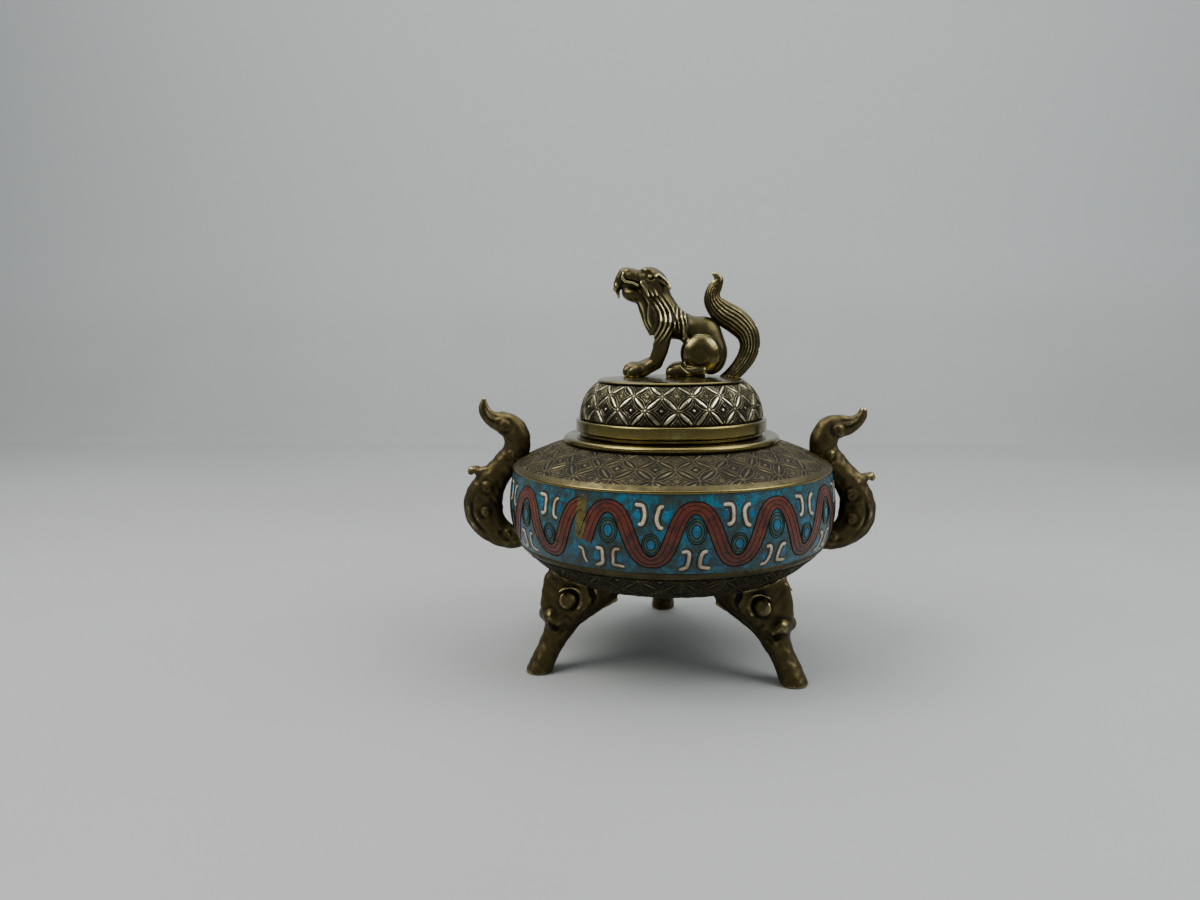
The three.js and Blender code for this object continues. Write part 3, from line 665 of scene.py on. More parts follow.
def make_enamel():
    ground = [(belly_radius(z) - 0.1, z) for z in np.linspace(ENAMEL_LOW, ENAMEL_HIGH, 28)]
    back = [(belly_radius(z) - 1.2, z) for z in np.linspace(ENAMEL_HIGH, ENAMEL_LOW, 8)]
    add_turned("enamel_ground", [*ground, *back], turquoise, "burner",
               ["enamel_ground_upper", "enamel_ground_lower"], 320)

    red, wires, creams, shade, cells, hearts, bright, streak = (Inlay() for _ in range(8))
    draw = np.random.default_rng(21)
    path, phase = wave_path()
    half = 1.5 + 0.42 * np.abs(np.sin(phase))
    side = beside(path, False)
    red.bar(path, half, 0.0, round_ends=False)
    walls = ((-1, 0.1, 0.13), (-0.42, 0, 0.075), (0.4, 0, 0.075), (1, 0.1, 0.13))
    for share, beyond, thick in walls:
        edge = path + side * (share * (half + beyond))[:, None]
        wires.bar(edge, thick, 0.05, crown=0.03)

    def motif(centre, scrolls, oval_z, oval_size, drops, drop_size):
        for scroll in scrolls:
            moved = [(centre + x + draw.uniform(-0.15, 0.15), z + draw.uniform(-0.12, 0.12))
                     for x, z in scroll]
            line = even_path(moved)
            shade.bar(line, 0.92, 0.0)
            wires.bar(line, 1.05, -0.03)
            creams.bar(line, 0.38 + draw.uniform(-0.05, 0.07), 0.05)
        middle = (centre + draw.uniform(-0.25, 0.25), oval_z + draw.uniform(-0.2, 0.2))
        wide, tall = oval_size
        for share, inlay, lift in ((1.0, cells, -0.05), (0.62, shade, -0.02), (0.5, hearts, 0.0)):
            fill, width = oval_fill(middle, share * wide, share * tall)
            inlay.bar(fill, width, lift, round_ends=False)
        for share in (1.0, 0.8, 0.5):
            wires.bar(oval_path(middle, share * wide, share * tall), 0.09, 0.04, closed=True,
                      crown=0.03)
        for x, z in drops:
            fill, width = oval_fill((centre + x, z), *drop_size)
            bright.bar(fill, width, -0.06, round_ends=False)

    for turn in range(WAVE_COUNT):
        crest = FIRST_CREST + turn * WAVE_PERIOD
        motif(crest * ARC, **CREST)
        motif((crest + WAVE_PERIOD / 2) * ARC, **TROUGH)
    seam = SEAM_AZIMUTH * ARC
    streak.bar(even_path([(seam - 2.2, 58.8), (seam - 2.3, 54), (seam - 2.6, 46.8)]), 1.6, 0.03)
    stray = ((-3.2, 44.6), (-2.0, 44.0), (-1.8, 41.6), (-1.2, 40.2))
    line = even_path([(seam + x, z) for x, z in stray])
    shade.bar(line, 0.92, 0.0)
    creams.bar(line, 0.34, 0.04)

    red.make("enamel_wave_red", brick, "enamel_red")
    wires.make("enamel_wires", cast_bronze, "cast_bronze")
    creams.make("enamel_scrolls", cream, "enamel_cream")
    shade.make("enamel_scroll_beds", umber, "enamel_red")
    cells.make("enamel_cells", green, "enamel_turquoise")
    hearts.make("enamel_hearts", blue, "enamel_turquoise")
    bright.make("enamel_bright", blue, "enamel_turquoise")
    streak.make("enamel_seam", olive, "enamel_olive")


make_enamel()


# ---- Modelled castings -----------------------------------------------
# Handles, legs and the lion-dog are drawn as distance fields (negative inside) and meshed.
WEAR_BASE = 0.4             # wear of a flat face
WEAR_GAIN = 1.7             # how strongly what stands out is worn


class Block:
    """A box of sample points, and the smooth shape that is being built in it."""

    def __init__(self, low, high, step):
        self.low = np.array(low, float)
        self.step = step
        axes = [np.arange(a, b + step, step) for a, b in zip(low, high)]
        self.x, self.y, self.z = np.meshgrid(*axes, indexing="ij", sparse=True)
        self.plane_x, self.plane_z = np.meshgrid(axes[0], axes[2], indexing="ij")
        self.field = np.full([len(axis) for axis in axes], 50.0, np.float32)

    def add(self, shape, blend=0.6):
        """Joins a shape on, rounding the corner between them over the blend's width."""
        share = np.clip(0.5 + 0.5 * (shape - self.field) / blend, 0, 1)
        self.field = shape + (self.field - shape) * share - blend * share * (1 - share)

    def carve(self, shape, blend=0.3):
        share = np.clip(0.5 - 0.5 * (self.field + shape) / blend, 0, 1)
        self.field = self.field + (-shape - self.field) * share + blend * share * (1 - share)

    def ball(self, centre, radii, lean=0.0):
        """An ellipsoid that leans nose-up in the XZ plane."""
        dx, dy, dz = self.x - centre[0], self.y - centre[1], self.z - centre[2]
        c, s = math.cos(math.radians(lean)), math.sin(math.radians(lean))
        along, up = dx * c + dz * s, dz * c - dx * s
        scaled = (along / radii[0]) ** 2 + (dy / radii[1]) ** 2 + (up / radii[2]) ** 2
        steep = np.sqrt((along / radii[0] ** 2) ** 2 + (dy / radii[1] ** 2) ** 2
                        + (up / radii[2] ** 2) ** 2) + 1e-6
        root = np.sqrt(scaled)
        return root * (root - 1) / steep

    def limb(self, start, end, radius, end_radius=None):
        """A rounded bar between two points."""
        end_radius = radius if end_radius is None else end_radius
        start, span = np.array(start, float), np.array(end, float) - np.array(start, float)
        parts = [axis - base for axis, base in zip((self.x, self.y, self.z), start)]
        share = sum(part * step for part, step in zip(parts, span)) / (span @ span)
        share = np.clip(share, 0, 1)
        gap = np.sqrt(sum((part - share * step) ** 2 for part, step in zip(parts, span)))
        return gap - (radius + share * (end_radius - radius))

    def cord(self, points, radius, end_radius=None):
        """A thin rounded line through a row of points."""
        end_radius = radius if end_radius is None else end_radius
        radii = np.linspace(radius, end_radius, len(points))
        whole = None
        for a, b, thick, thin in zip(points, points[1:], radii, radii[1:]):
            part = self.limb(a, b, thick, thin)
            whole = part if whole is None else np.minimum(whole, part)
        return whole

    def plume(self, stops):
        """A band along a curve in the XZ plane, from rows of x, z, half width, half thickness.
        Gives its field, and for every point its share across the band, along it, and its width."""
        line = smooth_line(stops, 8)
        px, pz = self.plane_x, self.plane_z
        best = np.full(px.shape, 1e9)
        across, beyond, place = np.zeros(px.shape), np.zeros(px.shape), np.zeros(px.shape)
        count = len(line) - 1
        for k in range(count):
            (ax, az), (bx, bz) = line[k, :2], line[k + 1, :2]
            ux, uz = bx - ax, bz - az
            length = math.hypot(ux, uz)
            share = ((px - ax) * ux + (pz - az) * uz) / length ** 2
            held = np.clip(share, 0, 1)
            gap = np.hypot(px - ax - held * ux, pz - az - held * uz)
            nearer = gap < best
            best = np.where(nearer, gap, best)
            side = ((px - ax) * uz - (pz - az) * ux) / length
            across = np.where(nearer, side, across)
            over = np.abs(share - held) * length * ((k == 0) | (k == count - 1))
            beyond = np.where(nearer, over, beyond)
            place = np.where(nearer, k + held, place)
        width = np.interp(place, np.arange(count + 1), line[:, 2])
        thick = np.interp(place, np.arange(count + 1), line[:, 3])
        ratio = np.hypot(across, beyond) / width
        flat = (ratio ** 2)[:, None, :] + (self.y / thick[:, None, :]) ** 2
        root = np.sqrt(flat)
        steep = np.sqrt((ratio / width)[:, None, :] ** 2
                        + (self.y / thick[:, None, :] ** 2) ** 2) + 1e-3
        shape = root * (root - 1) / steep
        along = place / count
        return shape, (across / width)[:, None, :], along[:, None, :], width[:, None, :]

    def blurred(self, radius):
        """The field averaged over a small cube."""
        reach = max(1, round(radius / self.step))
        soft = self.field
        for axis in range(3):
            total = np.zeros_like(soft)
            for shift in range(-reach, reach + 1):
                index = np.clip(np.arange(soft.shape[axis]) + shift, 0, soft.shape[axis] - 1)
                total += np.take(soft, index, axis)
            soft = total / (2 * reach + 1)
        return soft

    def mesh(self, wear_radius=0.8):
        """Points, quads and wear of the zero level (surface nets). Wear is high on what stands
        out from its surroundings and low in hollows."""
        shape = np.array(self.field.shape) - 1
        total = int(shape.prod())
        sums, hits, quads = np.zeros((3, total)), np.zeros(total), []
        for axis in range(3):
            u, v = (axis + 1) % 3, (axis + 2) % 3
            near = np.moveaxis(np.moveaxis(self.field, axis, 0)[:-1], 0, axis)
            far = np.moveaxis(np.moveaxis(self.field, axis, 0)[1:], 0, axis)
            at = np.argwhere((near < 0) != (far < 0))
            fits = (at[:, u] > 0) & (at[:, v] > 0) & (at[:, u] < shape[u]) & (at[:, v] < shape[v])
            at = at[fits]
            a, b = near[tuple(at.T)], far[tuple(at.T)]
            place = at.astype(float)
            place[:, axis] += a / (a - b)
            corners = []
            for du, dv in ((0, 0), (1, 0), (1, 1), (0, 1)):
                cell = at.copy()
                cell[:, u] -= du
                cell[:, v] -= dv
                flat = np.ravel_multi_index(cell.T, shape)
                corners.append(flat)
                hits += np.bincount(flat, minlength=total)
                for k in range(3):
                    sums[k] += np.bincount(flat, place[:, k], minlength=total)
            ring = np.stack(corners, 1)
            quads.append(np.where((a < 0)[:, None], ring, ring[:, ::-1]))
        used = np.flatnonzero(hits)
        rename = np.zeros(total, np.int64)
        rename[used] = np.arange(len(used))
        places = (sums[:, used] / hits[used]).T
        faces = rename[np.concatenate(quads)]
        bulge = (self.blurred(wear_radius) - self.field) / wear_radius
        wear = WEAR_BASE + WEAR_GAIN * self.sample(bulge, places)
        return self.low + places * self.step, faces, np.clip(wear, 0, 1)

    @staticmethod
    def sample(values, places):
        base = np.floor(places).astype(int)
        part = places - base
        total = np.zeros(len(places))
        for corner in np.ndindex(2, 2, 2):
            index = base + corner
            weight = np.prod(np.where(np.array(corner) == 1, part, 1 - part), axis=1)
            total += weight * values[tuple(index.T)]
        return total


def settle(points, faces, rounds=2):
    """Evens out a mesh's points a little, which takes the grid's steps out of it."""
    count = len(points)
    ends = np.concatenate([faces[:, [0, 1]], faces[:, [1, 2]], faces[:, [2, 3]], faces[:, [3, 0]]])
    number = np.bincount(ends.ravel(), minlength=count)[:, None]
    for _ in range(rounds):
        total = np.zeros_like(points)
        for k in range(3):
            total[:, k] = (np.bincount(ends[:, 0], points[ends[:, 1], k], minlength=count)
                           + np.bincount(ends[:, 1], points[ends[:, 0], k], minlength=count))
        points = (points + total / number) / 2
    return points


def unevenness(block, depth=0.05):
    """Soft hollows of a hand-finished casting, with no pattern that repeats within it."""
    total = 0
    for k, (a, b, c) in enumerate(((0.9, 0.5, 0.7), (1.4, -0.8, 0.6), (-0.6, 1.3, 1.1),
                                   (1.9, 1.1, -1.3), (-1.2, 2.0, 0.9))):
        total = total + np.sin(a * block.x + b * block.y + c * block.z + 1.7 * k
                               + 1.3 * np.sin(0.45 * block.z - 0.3 * block.x + k))
    return depth * total / 2.5


def clear_of_bowl(block, gap=0.05):
    """Cuts the block's shape back to the bowl's outer face, where it is fixed to the bowl."""
    z = np.clip(block.z, FLOOR_Z, NECK_Z)
    under = np.array(UNDERSIDE)
    edge = np.where(z < LOWER_BEAD_Z, np.interp(z, under[:, 1], under[:, 0]),
                    np.where(z > SHOULDER_Z, np.interp(z, SHOULDER[:, 1], SHOULDER[:, 0]),
                             belly_radius(z)))
    side = (np.hypot(block.x, block.y) - edge) * 0.8
    bowl = np.maximum(side, np.maximum(FLOOR_Z - 0.1 - block.z, block.z - NECK_Z))
    block.field = np.maximum(block.field, gap - bowl)


def add_casting(node, points, faces, wear, material, slot, body):
    """The modelled casting that stands in for one CAD node."""
    add_mesh(f"{node}_cast", points, faces, material, body, [node], wear=wear, sharp=0)


def aside(path, start, step=0.0):
    """A path in the XZ plane set off to y = start, and further by one step for each point."""
    return [(x, start + step * k, z) for k, (x, z) in enumerate(path)]


# A handle's stops are distance from the axis, height, half width and half thickness. Its nub and
# lip are distances and heights, and its bosses are distance, height, radius and how far out.
LEFT_HANDLE = {
    "bulge": [
        (47.2, 36.9, 3.3, 2.9), (50.8, 36.7, 3.9, 3.2), (54.6, 38.3, 4.6, 3.6),
        (57.6, 41.2, 5.6, 3.9), (59.2, 44.6, 6.3, 4.1), (59.4, 48.2, 6.2, 4.1),
        (58.0, 51.8, 5.6, 4.0), (56.0, 55.2, 4.7, 3.8), (53.6, 58.2, 4.2, 3.6),
        (51.2, 60.8, 4.0, 3.4)],
    "neck": [
        (51.4, 60.4, 4.0, 3.4), (49.2, 63.2, 4.2, 3.3), (48.0, 66.8, 4.2, 3.2),
        (49.2, 71.0, 4.2, 3.0), (52.4, 73.2, 3.6, 2.6), (55.0, 74.0, 2.8, 2.2),
        (57.0, 75.3, 2.2, 1.8), (58.3, 77.3, 1.9, 1.4), (58.5, 79.3, 1.3, 1.1),
        (58.3, 80.6, 0.8, 0.8)],
    "nub": [(56.6, 56.2), (59.2, 57.1), (61.4, 58.3), (62.9, 58.4), (63.2, 57.5)],
    "lip": [(51.3, 64.8), (52.4, 62.6), (54.4, 60.6), (56.7, 58.9), (59.4, 58.2)],
    "bosses": [(57.4, 53.2, 2.1, 3.1), (58.1, 45.4, 1.8, 3.3), (51.7, 38.2, 1.5, 2.5),
               (49.6, 63.4, 1.6, 2.7), (51.4, 72.4, 2.0, 2.0)],
}
RIGHT_HANDLE = {
    "bulge": [
        (46.4, 37.2, 3.4, 2.9), (50.6, 37.6, 3.9, 3.2), (54.0, 39.4, 4.6, 3.6),
        (56.4, 42.2, 5.4, 3.9), (57.4, 45.6, 5.7, 4.1), (57.2, 49.0, 5.3, 4.1),
        (56.2, 52.0, 4.8, 4.0), (54.4, 55.0, 4.4, 3.8), (51.9, 58.0, 4.2, 3.6),
        (49.4, 60.6, 4.2, 3.4)],
    "neck": [
        (49.6, 60.3, 4.2, 3.4), (47.4, 63.4, 4.3, 3.3), (46.6, 67.2, 4.2, 3.2),
        (48.4, 71.0, 4.2, 3.0), (51.6, 72.1, 3.6, 2.6), (54.2, 72.5, 2.9, 2.2),
        (56.4, 73.6, 2.2, 1.8), (57.8, 75.2, 1.7, 1.4), (58.3, 76.8, 1.2, 1.1)],
    "nub": [(55.4, 54.6), (57.8, 55.4), (59.8, 56.6), (61.2, 57.0), (61.7, 56.2)],
    "lip": [(49.9, 65.0), (50.6, 62.4), (52.0, 60.0), (54.2, 57.6), (57.6, 56.4)],
    "bosses": [(55.2, 51.6, 2.0, 3.1), (55.4, 44.0, 1.8, 3.2), (50.2, 38.4, 1.5, 2.5),
               (48.2, 63.6, 1.6, 2.7), (50.6, 71.2, 2.0, 2.0)],
}


def handle_shape(bulge, neck, nub, lip, bosses):
    """One handle, drawn on the +X side."""
    block = Block((42, -5.2, 30), (68, 5.2, 83), 0.27)
    shape, across, along, width = block.plume(bulge)
    rim = (across - 1) * width          # distance in from the outer edge, negative inside
    fin = ridge(rim + 3.4, 0.5) * 0.45 - ridge(rim + 2.2, 0.6) * 0.25
    fin = fin + ridge(rim + 1.1, 0.3) * 0.2
    fin = fin * np.clip(along * 6, 0, 1) * np.clip((0.86 - along) * 6, 0, 1)
    fin = fin * (0.55 + 0.45 * np.sin(15 * along + 1.2))
    hollow = 0.3 * ridge(across + 0.45, 0.3) * np.clip((along - 0.25) * 5, 0, 1)
    block.add(shape + fin + hollow)
    shape, across, along, _ = block.plume(neck)
    fluting = np.clip((along - 0.35) * 5, 0, 1) * np.clip((0.93 - along) * 8, 0, 1)
    groove = 0.5 * ridge(across - 0.15 + 0.5 * (along - 0.5), 0.2) * fluting
    groove = groove + 0.25 * ridge(across + 0.5, 0.15) * fluting
    block.add(shape + groove, 0.9)
    curl_x, curl_z = neck[3][0] - 1.0, neck[3][1] - 0.6
    curl = [(curl_x + 0.6 * t * math.sin(t + 2.2), curl_z + 0.6 * t * math.cos(t + 2.2))
            for t in np.linspace(1.4, 5.4, 14)]
    for side in (-1, 1):
        block.add(block.cord(aside(nub, side * 1.7, side * -0.35), 1.5, 0.75), 1.2)
        block.add(block.cord(aside(lip, side * 1.6), 0.6, 0.9), 0.7)
        for x, z, size, out in bosses:
            block.carve(block.ball((x, side * (out + 1.5), z), (size + 1.2, 1.3, size + 1.2)), 0.6)
            block.add(block.ball((x, side * out, z), (size, 0.55 * size, size)), 0.45)
            block.carve(block.ball((x - 0.2 * size, side * (out + 0.6 * size), z - 0.3 * size),
                                   (0.55 * size, 0.35, 0.3 * size), 30), 0.2)
        block.carve(block.cord(aside(curl, side * 3.4), 0.25, 0.5), 0.4)
    block.field = block.field + unevenness(block, 0.1)
    clear_of_bowl(block)
    points, faces, wear = block.mesh()
    return settle(points, faces), faces, wear


def make_handles():
    for node, handle, sign in (("handle_left", LEFT_HANDLE, -1), ("handle_right", RIGHT_HANDLE, 1)):
        points, faces, wear = handle_shape(**handle)
        add_casting(node, points * (sign, sign, 1), faces, wear, dark_bronze, "dark_bronze",
                    "burner")


make_handles()

# A leg's rows are height, inner edge and outer edge as distances from the axis, and half width.
LEG_ROWS = np.array([
    (-1.0, 40.4, 47.8, 3.8), (0.5, 40.0, 48.1, 4.0), (2.0, 39.4, 47.6, 4.0),
    (5.3, 37.8, 45.9, 3.8), (8.7, 35.4, 44.0, 3.7), (12.0, 32.9, 42.6, 3.9),
    (14.5, 30.6, 42.0, 4.6), (16.8, 27.6, 42.0, 5.9), (19.2, 23.8, 42.0, 7.1),
    (21.8, 18.8, 42.3, 8.0), (25.0, 16.0, 42.2, 8.6), (31.0, 15.0, 40.6, 9.4)])
LEG_AZIMUTHS = {"leg_front_left": -63, "leg_front_right": 54, "leg_back": 183.5}
EYE_X, EYE_Z = 36.9, 23.0       # distance from the axis and height
BROW_RADIUS = 3.9


def leg_face(block, rows, side):
    """The jaw, eye, ear and trunk crease on one side of the elephant's head."""
    block.add(block.limb((41.2, side * 2.4, 17.2), (39.4, side * 3.9, 16.0), 1.9, 1.4), 1.0)
    block.carve(block.ball((41.2, side * 4.0, 14.0), (2.6, 1.9, 1.1), 20), 0.4)
    block.carve(block.ball((38.6, side * 5.0, 12.6), (2.3, 1.5, 1.2), -25), 0.5)
    block.carve(block.cord([(37.2, side * 6.0, 17.6), (34.8, side * 5.9, 15.4),
                            (33.8, side * 5.3, 13.0)], 0.6, 0.3), 0.7)
    block.carve(block.ball((EYE_X, side * 7.0, EYE_Z), (3.7, 2.0, 3.6)), 0.7)
    block.add(block.ball((EYE_X, side * 6.0, EYE_Z), (2.8, 1.0, 2.75)), 0.15)
    block.carve(block.ball((EYE_X, side * 7.2, EYE_Z), (2.1, 0.4, 2.05)), 0.15)
    brow = []
    for turn in np.linspace(-0.7, 2.3, 14):
        x = EYE_X - 0.98 * BROW_RADIUS * math.cos(turn)
        z = EYE_Z + BROW_RADIUS * math.sin(turn)
        brow.append((x, side * (6.75 - 0.035 * max(x - 35, 0) ** 2), z))
    block.add(block.cord(brow, 0.5, 0.34), 0.7)
    ear = [(31.4, 17.6), (29.6, 20.0), (29.2, 23.2), (30.6, 26.4)]
    block.carve(block.cord(aside(ear, side * 8.0), 0.7, 0.6), 0.8)
    heights = np.linspace(9, 21, 9)
    inner, half = (np.interp(heights, rows[:, 0], rows[:, k]) for k in (1, 3))
    crease = list(zip(inner + 1.1, side * 0.66 * half, heights))
    block.add(block.cord(crease, 0.15, 0.8), 0.7)


def leg_shape():
    """An elephant's head whose trunk is the leg's column. Here +X is out from the axis."""
    block = Block((14.5, -10.5, -0.6), (50, 10.5, 34), 0.3)
    z = block.z
    rows = smooth_line(LEG_ROWS, 6)
    inner, outer, half = (np.interp(z, rows[:, 0], rows[:, k]) for k in (1, 2, 3))
    middle, reach = (inner + outer) / 2, (outer - inner) / 2
    head = np.clip((z - 14) / 6, 0, 1)
    forward = np.clip((block.x - middle) / reach, -1.5, 1.5)
    slim = half * (1 - head * 0.34 * np.clip(forward, 0, 1.2)
                   - head * 0.22 * np.clip(-forward, 0, 1.2))
    a, b = np.abs(block.x - middle) / reach, np.abs(block.y) / slim
    power = 2 + 1.2 * head * (forward < 0) * np.clip(-2 * forward, 0, 1)
    root = (a ** power + b ** power) ** (1 / power)
    shape = (root - 1) * np.minimum(reach, slim)
    block.add(np.maximum(shape * 0.9, np.maximum(0.02 - z, z - 32.5)), 0.01)
    block.add(block.limb((40.6, 0, 28.5), (41.6, 0, 20.5), 1.3, 1.7), 1.0)
    block.add(block.ball((40.6, 0, 17.3), (2.6, 3.9, 2.6), 10), 0.8)
    block.carve(block.limb((43.7, -6, 13.7), (43.7, 6, 13.7), 1.1), 0.8)
    for side in (-1, 1):
        leg_face(block, rows, side)
    block.field = block.field + unevenness(block, 0.08)
    clear_of_bowl(block)
    block.field = np.maximum(block.field, np.maximum(-z, block.z - 33))
    points, faces, wear = block.mesh()
    return settle(points, faces), faces, wear


def make_legs():
    points, faces, wear = leg_shape()
    points[:, 2] = np.maximum(points[:, 2], 0)
    out, across, z = points.T
    for node, azimuth in LEG_AZIMUTHS.items():
        east, north = direction(azimuth)
        turned = np.stack([out * east - across * north, out * north + across * east, z], 1)
        add_casting(node, turned, faces, wear, dark_bronze, "dark_bronze", "burner")


make_legs()


# Centre, half sizes and lean of the rounded masses that make the trunk and the head.
LION_MASSES = (((1.0, 0, 103.4), (9.0, 4.9, 4.4), -14), ((9.5, 0, 99.6), (6.0, 4.6, 6.2), -30),
               ((12.2, 0, 94.6), (5.0, 4.4, 6.6), 0), ((-3.4, 0, 105.8), (4.5, 4.7, 7.4), 14),
               ((-5.2, 0, 113.6), (4.6, 4.4, 4.4), 30), ((-5.8, 0, 116.6), (4.9, 4.3, 3.8), -28))
HAUNCH_X, HAUNCH_Z = 9.0, 94.5


def lion_jaws(block):
    """The muzzle, the gaping mouth with its rims, and the tongue."""
    block.add(block.ball((-11.3, 0, 117.4), (4.0, 3.1, 2.7), 152), 0.9)
    block.add(block.ball((-12.9, 0, 119.3), (1.8, 2.4, 1.2), 168), 0.4)
    block.add(block.ball((-11.2, 0, 112.3), (3.8, 2.8, 2.3), 165), 0.8)
    for side in (-1, 1):
        block.carve(block.ball((-12.2, side * 2.9, 115.5), (3.9, 1.7, 1.2), 166), 0.6)
    block.add(block.ball((-12.9, 0, 116.0), (2.6, 1.5, 3.6), 6), 0.6)
    lip = [(-14.2, 118.8), (-15.4, 117.2), (-16.2, 115.4)]
    block.add(block.cord(aside(lip, 0), 1.7, 1.3), 0.6)
    fang = [(-16.4, 115.0), (-17.0, 113.9)]
    rim = [(-14.3, 118.6), (-14.6, 117.2), (-13.6, 116.2), (-11.6, 115.9), (-9.8, 115.0)]
    for side in (-1, 1):
        block.add(block.cord(aside(fang, side * 0.8, side * 0.2), 0.9, 0.6), 0.4)
        block.add(block.cord(aside(rim, side * 2.0, side * 0.25), 0.5, 0.4), 0.3)
    tongue = [(-15.9, 115.0), (-16.2, 113.2), (-15.9, 111.6)]
    block.add(block.cord(aside(tongue, 0), 0.9, 0.4), 0.4)


def lion_cheek(block, side):
    """The brow, eye, cheek line, tufts and ear on one side."""
    block.add(block.ball((-6.6, side * 2.3, 119.0), (2.3, 1.5, 1.3), -20), 0.4)
    block.carve(block.ball((-6.4, side * 4.3, 117.5), (1.7, 0.8, 0.9), -20), 0.3)
    block.add(block.ball((-6.3, side * 3.6, 117.5), (0.8, 0.7, 0.7)), 0.12)
    block.carve(block.cord([(-8.9, side * 3.6, 119.4), (-8.7, side * 4.0, 117.4),
                            (-6.6, side * 4.6, 115.3)], 0.45), 0.3)
    for k in range(3):
        tuft = [(-8.8 + 1.1 * k, side * 3.3, 115.8 + 0.2 * k),
                (-7.6 + 1.1 * k, side * 4.2, 114.0), (-6.6 + 1.2 * k, side * 4.5, 111.9)]
        block.add(block.cord(tuft, 0.62, 0.35), 0.25)
    ear = [(-3.8, 117.3), (-2.4, 116.4), (-1.2, 115.4), (-0.4, 114.3)]
    hollow = [(x + 0.2, z - 0.1) for x, z in ear]
    block.add(block.cord(aside(ear, side * 3.3, side * 0.4), 1.25, 0.55), 0.35)
    block.carve(block.cord(aside(hollow, side * 4.3, side * 0.4), 0.5, 0.25), 0.2)


def lion_limbs(block, side):
    """The foreleg, the paws with their toes, the haunch and the hock on one side."""
    paw = -10.6 - 0.9 * side
    foreleg = [(-1.6, 3.4, 103.5), (-2.5, 3.6, 99.0), (-3.2, 3.5, 95.6), (-4.6, 3.4, 91.9),
               (paw + 2.2, 3.5, 90.1)]
    block.add(block.cord([(x, side * y, z) for x, y, z in foreleg], 2.8, 2.0), 0.8)
    block.add(block.ball((paw, side * 3.6, 89.6), (3.2, 2.6, 2.4)), 0.6)
    block.add(block.ball((3.2, side * 5.3, 89.4), (4.3, 2.5, 2.6)), 0.5)
    for x, y in ((paw - 1.7, side * 3.6), (0.3, side * 5.3)):
        for toe in (-1, 0, 1):
            block.add(block.ball((x + 0.35 * abs(toe), y + 1.7 * toe, 88.9),
                                 (1.9, 0.95, 1.8)), 0.12)
        gap = [(x - 1.9, 88.4), (x - 0.8, 91.0), (x + 1.9, 92.2)]
        for off in (-0.85, 0.85):
            block.carve(block.cord(aside(gap, y + off), 0.42, 0.25), 0.12)
    block.carve(block.ball((9.0, side * 7.1, 94.8), (6.9, 3.2, 6.9)), 0.4)
    block.add(block.ball((HAUNCH_X, side * 3.5, HAUNCH_Z), (6.1, 3.7, 6.1)), 0.2)
    block.carve(block.ball((8.0, side * 8.3, 94.0), (3.6, 1.6, 4.6), 8), 0.5)
    hock = [(9.5, 89.6), (6.6, 89.3), (3.6, 89.3)]
    block.add(block.cord(aside(hock, side * 5.6), 1.3, 1.5), 0.4)
    block.add(block.cord([(3.4, side * 3.9, 105.0), (4.0, side * 4.5, 102.0),
                          (4.2, side * 4.4, 99.4)], 1.2, 0.8), 0.9)


def comb_mane(block):
    """Cuts the strands of the mane down the neck, the shoulder and the chest."""
    x, z = block.x, block.z
    bend = x - 3.4 * np.sin((z - 98) / 4.3)
    neck = np.exp(-((bend + 4.6) / 3.0) ** 4 - ((z - 104.8) / 6.8) ** 4)
    shoulder = np.exp(-((x - 2.8) / 2.2) ** 4 - ((z - 105.0) / 3.6) ** 4)
    strands = 0.34 * neck * np.sin(TAU * bend / 1.5)
    strands = strands + 0.3 * shoulder * np.sin(TAU * (x + 0.35 * np.sin((z - 104) / 1.6)) / 1.25)
    off_middle = np.clip(np.abs(block.y) / 1.5, 0, 1)
    chest = 0.3 * np.exp(-((x + 8) / 2.5) ** 4 - ((z - 106) / 5) ** 4)
    block.field = block.field + strands * off_middle
    block.field = block.field + chest * np.sin(TAU * block.y / 1.5)


def mesh_on_plate(block, wear_radius):
    """Points, quads and wear of a shape that stands on the lid's crowned plate."""
    plate = crown_height(np.hypot(block.x, block.y)) + STAND_GAP
    block.field = np.maximum(block.field, plate - block.z)
    points, faces, wear = block.mesh(wear_radius)
    points = settle(points, faces, 1)
    plate = crown_height(np.hypot(points[:, 0], points[:, 1])) + STAND_GAP
    points[:, 2] = np.maximum(points[:, 2], plate)
    return points, faces, wear


def lion_shape():
    block = Block((-18.6, -8.2, 86.4), (18.6, 8.2, 123.4), 0.22)
    for centre, radii, lean in LION_MASSES:
        block.add(block.ball(centre, radii, lean), 1.6)
    block.add(block.limb((-4.4, 0, 112.2), (0.2, 0, 105.6), 3.8, 3.6), 1.4)
    lion_jaws(block)
    for side in (-1, 1):
        lion_cheek(block, side)
        lion_limbs(block, side)
    beard = [(-8.2, 110), (-7.6, 106.6), (-6.9, 103.4), (-6.3, 100.4)]
    block.add(block.cord(aside(beard, 0), 2.1, 0.5), 0.8)
    comb_mane(block)
    points, faces, wear = mesh_on_plate(block, 0.7)
    reach = np.hypot(points[:, 0] - HAUNCH_X, points[:, 2] - HAUNCH_Z) / 6
    on_haunch = (reach < 1) & (np.abs(points[:, 1]) > 4.4)
    rubbed = np.where(on_haunch, np.maximum(wear, 0.56 + 0.16 * reach), wear)
    return points, faces, rubbed


